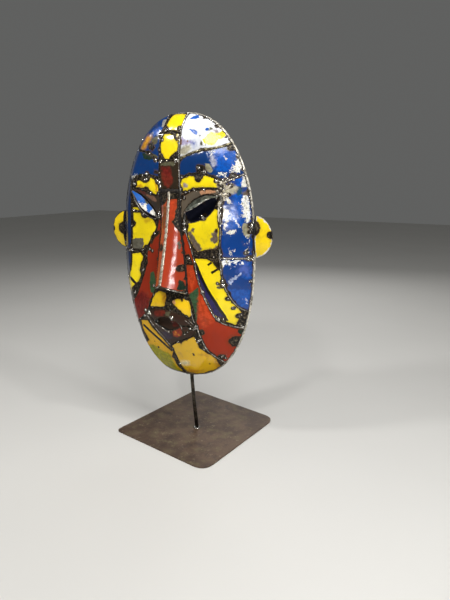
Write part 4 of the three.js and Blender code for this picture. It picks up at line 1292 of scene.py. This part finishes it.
BEIGE_BEADS = [
    ([(114, 111), (112, 106), (113, 101), (111, 97), (112, 92), (111, 87), (113, 82), (112, 76), (113, 70)],
     face_depth),
    ([(109, 148), (113, 146), (114, 143), (118, 141), (118, 137), (121, 134), (120, 130)], face_depth),
    ([(111, 122), (114, 124), (118, 122), (121, 124), (125, 122)], face_depth),
    ([(120, 133), (124, 135), (125, 139), (129, 141)], face_depth),
    ([(116, 120), (119, 117), (119, 113), (122, 111)], face_depth),
]
FILLER_LUMPS = [
    (112, 143, 2.6), (117, 146, 2.0), (121, 138, 2.4), (118, 129, 2.6), (115, 125, 2.0), (122, 119, 2.4),
    (120, 112, 2.0), (125, 107, 1.8), (112, 103, 2.0), (111, 93, 1.8), (113, 84, 2.0), (107, 149, 1.8),
    (127, 144, 1.6), (113, 134, 2.2), (124, 128, 1.8), (108, 130, 1.6), (130, 150, 1.6),
]
# The weld of the rim is drawn bright to the right of this, where the light falls on it, and dark to the left,
# in its shade: painted light and shade. In millimetres from the middle
LIT_RIM_FROM = -30


def build_seam_beads():
    burnt_lines, bright_lines, bronze_lines, rim_lit, rim_shaded = [], [], [], [], []
    for name, beside, run in seams:
        line = (run, depth_for(name, beside))
        if beside == "rim":
            # The rim's weld takes the bright ground finish on the lit right and the burnt one in the shade on
            # the left: painted light and shade.
            on_lit_side = run[len(run) // 2][0] > LIT_RIM_FROM
            (rim_lit if on_lit_side else rim_shaded).append(line)
        elif beside != "nose":
            burnt_lines.append(line)
        if (name, beside) in BRIGHT_SEAMS:
            bright_lines.append(line)
        elif (name, beside) in BRONZE_SEAMS:
            bronze_lines.append(line)
    for name, lines, radius, ripple, sides, finish, lift in (
            ("seam_beads_burnt", burnt_lines, 1.35, 0.9, 6, "seam_bead_burnt", -0.3),
            ("seam_beads_ground", bright_lines, 0.85, 0.5, 6, "seam_bead_ground", 0.85),
            ("loose_beads", LOOSE_BEADS, 0.7, 0.9, 6, "seam_bead_ground", 0.5),
            ("seam_beads_beige", BEIGE_BEADS, 1.7, 0.5, 8, "seam_filler_beige", 0.5),
            ("seam_bead_bronze", bronze_lines, 1.9, 0.6, 8, "seam_bead_bronze", 0.3),
            # The rim's two weld lines are one weld, bright where lit and dark where shaded: painted light and
            # shade.
            ("rim_beads_lit", rim_lit, 0.8, 0.7, 6, "seam_bead_ground", 0.1),
            ("rim_beads_shaded", rim_shaded, 0.9, 0.7, 6, "seam_bead_burnt", -0.3)):
        seam_beads(name, lines, radius, ripple, sides, finish, lift)


build_seam_beads()


def add_lump(lumps, centre, out, size, number, divisions=2):
    """A squashed and wrinkled ball of weld metal."""
    turn = out.to_track_quat("Z", "Y").to_matrix().to_4x4()
    squash = (random.uniform(0.8, 1.25), random.uniform(0.8, 1.25), random.uniform(0.5, 0.75), 1)
    made = bmesh.ops.create_icosphere(lumps, subdivisions=divisions, radius=size * MM,
                                      matrix=Matrix.Translation(centre) @ turn @ Matrix.Diagonal(squash))
    for vert in made["verts"]:
        outward = vert.co - centre
        vert.co = centre + outward * (1 + 0.4 * noise.noise(outward / (1.4 * MM) + Vector((number, 0, 0))))


def surface_depth(u, v):
    on_lips = any(inside(np.array([(u, v)]), outlines[lip])[0] for lip in ("lip_upper", "lip_lower"))
    return lip_depth if on_lips else face_depth


# Lumps beside a large tack and drops of spatter round it, by its size; the rod's foot as circle and lumps
CLUSTER_SPREAD, CLUSTER_SIZE, CLUSTER_LUMPS = 1.4, 0.6, 2
SPATTER_REACH, SPATTER_SIZE, SPATTER_DROPS = (1.6, 3.6), (0.35, 0.8), 4
FOOT_CIRCLE, FOOT_LUMP_SIZE, FOOT_LUMPS = 5.5 * MM, (2.2, 3.4), 9


def weld_tacks():
    """The tack welds: each a lump or a cluster of lumps, with spatter thrown round the larger ones, and the
    ring of lumps at the foot of the rod."""
    lumps = bmesh.new()
    for number, (u, v, size) in enumerate(tacks):
        depth = surface_depth(u, v)
        add_lump(lumps, face_point(u, v, 0.4, depth), face_normal(u, v, depth), size, number)
        if number >= len(TACKS):
            continue
        for extra in range(CLUSTER_LUMPS):
            side_u = u + random.uniform(-1, 1) * size * CLUSTER_SPREAD
            side_v = v + random.uniform(-1, 1) * size * CLUSTER_SPREAD
            add_lump(lumps, face_point(side_u, side_v, 0.3, depth), face_normal(side_u, side_v, depth),
                     size * CLUSTER_SIZE, number + 0.3 * extra)
        for drop in range(SPATTER_DROPS):
            angle = random.uniform(0, math.tau)
            away = size * random.uniform(*SPATTER_REACH)
            side_u, side_v = u + away * math.cos(angle), v + away * math.sin(angle)
            add_lump(lumps, face_point(side_u, side_v, 0.5, depth), face_normal(side_u, side_v, depth),
                     random.uniform(*SPATTER_SIZE), number + 0.1 * drop, 1)
    plate_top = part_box("base_plate")[1].z
    for k in range(FOOT_LUMPS):
        angle = math.tau * k / FOOT_LUMPS
        spot = Vector((FOOT_CIRCLE * math.cos(angle), FOOT_CIRCLE * math.sin(angle), plate_top))
        add_lump(lumps, spot, Vector((0, 0, 1)), random.uniform(*FOOT_LUMP_SIZE), 200 + k)
    finished_beads(lumps, "weld_tacks", "weld_metal")


weld_tacks()


def filler_lumps():
    """The pale filler piled up where brow, eye and side meet."""
    lumps = bmesh.new()
    for number, (u, v, size) in enumerate(FILLER_LUMPS):
        add_lump(lumps, face_point(u, v, 0.3), face_normal(u, v), size, 300 + number)
    finished_beads(lumps, "filler_lumps", "seam_filler_beige")


filler_lumps()


# The other beads, with their radius in millimetres and the share by which it ripples
RIDGE_WELD = dict(radius=2.7, ripple=0.25, sides=10, flat=1.25)
NOSTRIL_SQUIGGLE = dict(radius=0.95, ripple=0.6, sides=6)
LID_LIP = dict(radius=0.75, ripple=0.5, sides=6)
NOSE_FOOT_WELD = dict(radius=1.9, ripple=0.4, sides=8)
MOUTH_WELD = dict(radius=3.0, ripple=0.2, sides=8)
EAR_WELD = dict(radius=2.2, ripple=0.4, sides=8)


def even_line(corners):
    """Points at an even step along straight runs between corners."""
    line = []
    for a, b in zip(corners, corners[1:]):
        steps = max(1, int((b - a).length / LINE_STEP))
        line += [a.lerp(b, k / steps) for k in range(steps)]
    line.append(corners[-1])
    return line


def nose_beads():
    """The wide bead ground down along the ridge of the nose, and the squiggle under its nostril edge."""
    right = merged_copy("nose_right")
    points = [vert.co.copy() for vert in right.verts]
    right.free()
    ridge = sorted((point for point in points if to_uv(point)[0] < 2.2), key=lambda point: -point.z)
    ridge = [point for i, point in enumerate(ridge) if i == 0 or (ridge[i - 1] - point).length > 3 * MM]
    line = [Vector((CENTRE.x * MM, point.y + 1.0 * MM, point.z)) for point in even_line(ridge)]
    beads = bmesh.new()
    add_tube(beads, line, **RIDGE_WELD)
    finished_beads(beads, "nose_ridge_weld", "ridge_weld_ground")
    foot = sorted((point for point in points if to_uv(point)[1] < -60), key=lambda point: point.x)
    wavy = []
    for i, point in enumerate(even_line(foot[1::2])):
        sway = 1.0 * MM * noise.noise(Vector((i / 1.7, 3.0, 0)))
        wavy.append(point + Vector((0.4 * MM, -0.6 * MM, -1.6 * MM + sway)))
    wavy = wavy[6:]
    outs = [Vector((0.5, -0.7, -0.5)).normalized()] * len(wavy)
    squiggle = bmesh.new()
    add_tube(squiggle, wavy, outs=outs, **NOSTRIL_SQUIGGLE)
    finished_beads(squiggle, "nose_foot_weld", "seam_bead_ground")


nose_beads()


def edge_line(points, along, levels, pick, reach=1.6):
    """One edge point at each level along u (0) or v (1): the one that reaches furthest by pick."""
    line = []
    for level in levels:
        beside = [point for point in points if abs(to_uv(point)[along] - level) < reach]
        if beside:
            line.append(max(beside, key=pick))
    return line


def lid_edge_bead():
    """The bright ground lip of the lid over the right eye."""
    line = edge_line(edge_loop_points("eye_visor_right"), 0, range(40, 101, 5), lambda point: -point.z, 2.5)
    line = even_line([point - Vector((0, 0.3, 0)) * MM for point in line])
    beads = bmesh.new()
    add_tube(beads, line, **LID_LIP)
    finished_beads(beads, "lid_edge_ground", "seam_bead_ground")


lid_edge_bead()


def crack_beads():
    """The burnt welds that close the cracks: round the foot of the nose, behind the lips and where the ears
    join the rim."""
    beads = bmesh.new()
    nose = {side: edge_loop_points("nose_" + side) for side in ("right", "left", "underside")}
    for side, sign in (("right", 1), ("left", -1)):
        foot = edge_line(nose[side], 1, range(-76, 128, 2), lambda point: sign * point.x)
        foot = [point + Vector((0.7 * sign, 0.9, 0)) * MM for point in foot]
        add_tube(beads, foot, number=sign, **NOSE_FOOT_WELD)
    top = edge_line(nose["right"] + nose["left"], 0, range(-24, 24, 2), lambda point: point.z)
    bottom = edge_line(nose["underside"], 0, range(-36, 38, 2), lambda point: -point.z)
    for line, level in ((top, 128), (bottom, -80)):
        on_face = [face_point(to_uv(point)[0], level, 0) for point in line]
        middle = [point.lerp(face, 0.5) for point, face in zip(line, on_face)]
        gap = max((point - face).length for point, face in zip(line, on_face)) / MM
        add_tube(beads, middle, radius=0.8 + gap / 2, ripple=0.3, sides=8)
    mouth = edge_loop_points("mouth_plate")
    middle = sum(mouth, Vector()) / len(mouth)
    around = sorted(mouth, key=lambda point: math.atan2(point.z - middle.z, point.x - middle.x))[::4]
    ring = [point + (point - middle).normalized() * 1.5 * MM + FORWARD * 3.5 * MM for point in around]
    ring.append(ring[0])
    add_tube(beads, ring, **MOUTH_WELD)
    for side, sign in (("right", 1), ("left", -1)):
        root = edge_line(edge_loop_points("ear_" + side), 1, range(0, 82, 3), lambda point: -sign * point.x)
        root = [point + Vector((-1.4 * sign, 1.0, 0)) * MM for point in root]
        add_tube(beads, root, number=sign, **EAR_WELD)
    finished_beads(beads, "crack_beads", "crack_filler_black")


crack_beads()


# The floor, the lights and the camera

def add_floor():
    bpy.ops.mesh.primitive_plane_add(size=12, location=(0, 0, 0))
    floor = bpy.context.active_object
    floor.name = "floor"
    floor.data.materials.append(plain_floor("pale_floor"))


# Each light: its place, what it faces, its width and height in metres and its watts
LIGHTS = dict(
    softbox_right=((1.02, -0.85, 0.628), (0, -0.1, 0.42), (0.46, 0.052), 4),
    softbox_side=((1.24, -0.68, 0.76), (0, -0.1, 0.42), (0.12, 0.14), 0.07),
    overhead=((0.7, -0.5, 1.9), (0, 0, 0.5), (0.7, 0.7), 18),
    lamp_left=((-1.1, -1.3, 1.7), (0, 0, 0.45), (0.2, 0.2), 14),
    back_fill=((-0.5, 1.7, 1.3), (0, 0, 0.45), (1.2, 1.2), 9),
    lamp_right=((1.3, -0.2, 1.5), (0, 0, 0.45), (0.12, 0.12), 7),
    front_lamp=((0.25, -1.5, 1.8), (0, 0, 0.45), (0.2, 0.2), 10))
STUDIO_GREY = "#c9cac8"
STUDIO_STRENGTH = 0.2


def add_lights():
    for name, (place_m, target, size, watts) in LIGHTS.items():
        data = bpy.data.lights.new(name, "AREA")
        data.shape = "RECTANGLE"
        data.size, data.size_y = size
        data.energy = watts
        lamp = linked_object(name, data)
        lamp.location = place_m
        lamp.rotation_euler = (Vector(target) - Vector(place_m)).to_track_quat("-Z", "Y").to_euler()
    world = bpy.data.worlds.new("studio")
    bpy.context.scene.world = world
    world.use_nodes = True
    background = world.node_tree.nodes["Background"]
    background.inputs["Color"].default_value = rgb(STUDIO_GREY)
    background.inputs["Strength"].default_value = STUDIO_STRENGTH


# The photograph's viewing angle: place in metres, turn in degrees and lens in millimetres
CAMERA_PLACE = (0.6109, -0.9244, 0.583)
CAMERA_TURN = (76.38, 0, 30)
CAMERA_LENS = 30.456


def add_camera():
    data = bpy.data.cameras.new("camera")
    data.sensor_width = 36
    data.lens = CAMERA_LENS
    camera = linked_object("camera", data)
    camera.location = CAMERA_PLACE
    camera.rotation_euler = [math.radians(angle) for angle in CAMERA_TURN]
    bpy.context.scene.camera = camera
    bpy.context.scene.view_settings.view_transform = "Standard"


add_floor()
add_lights()
add_camera()
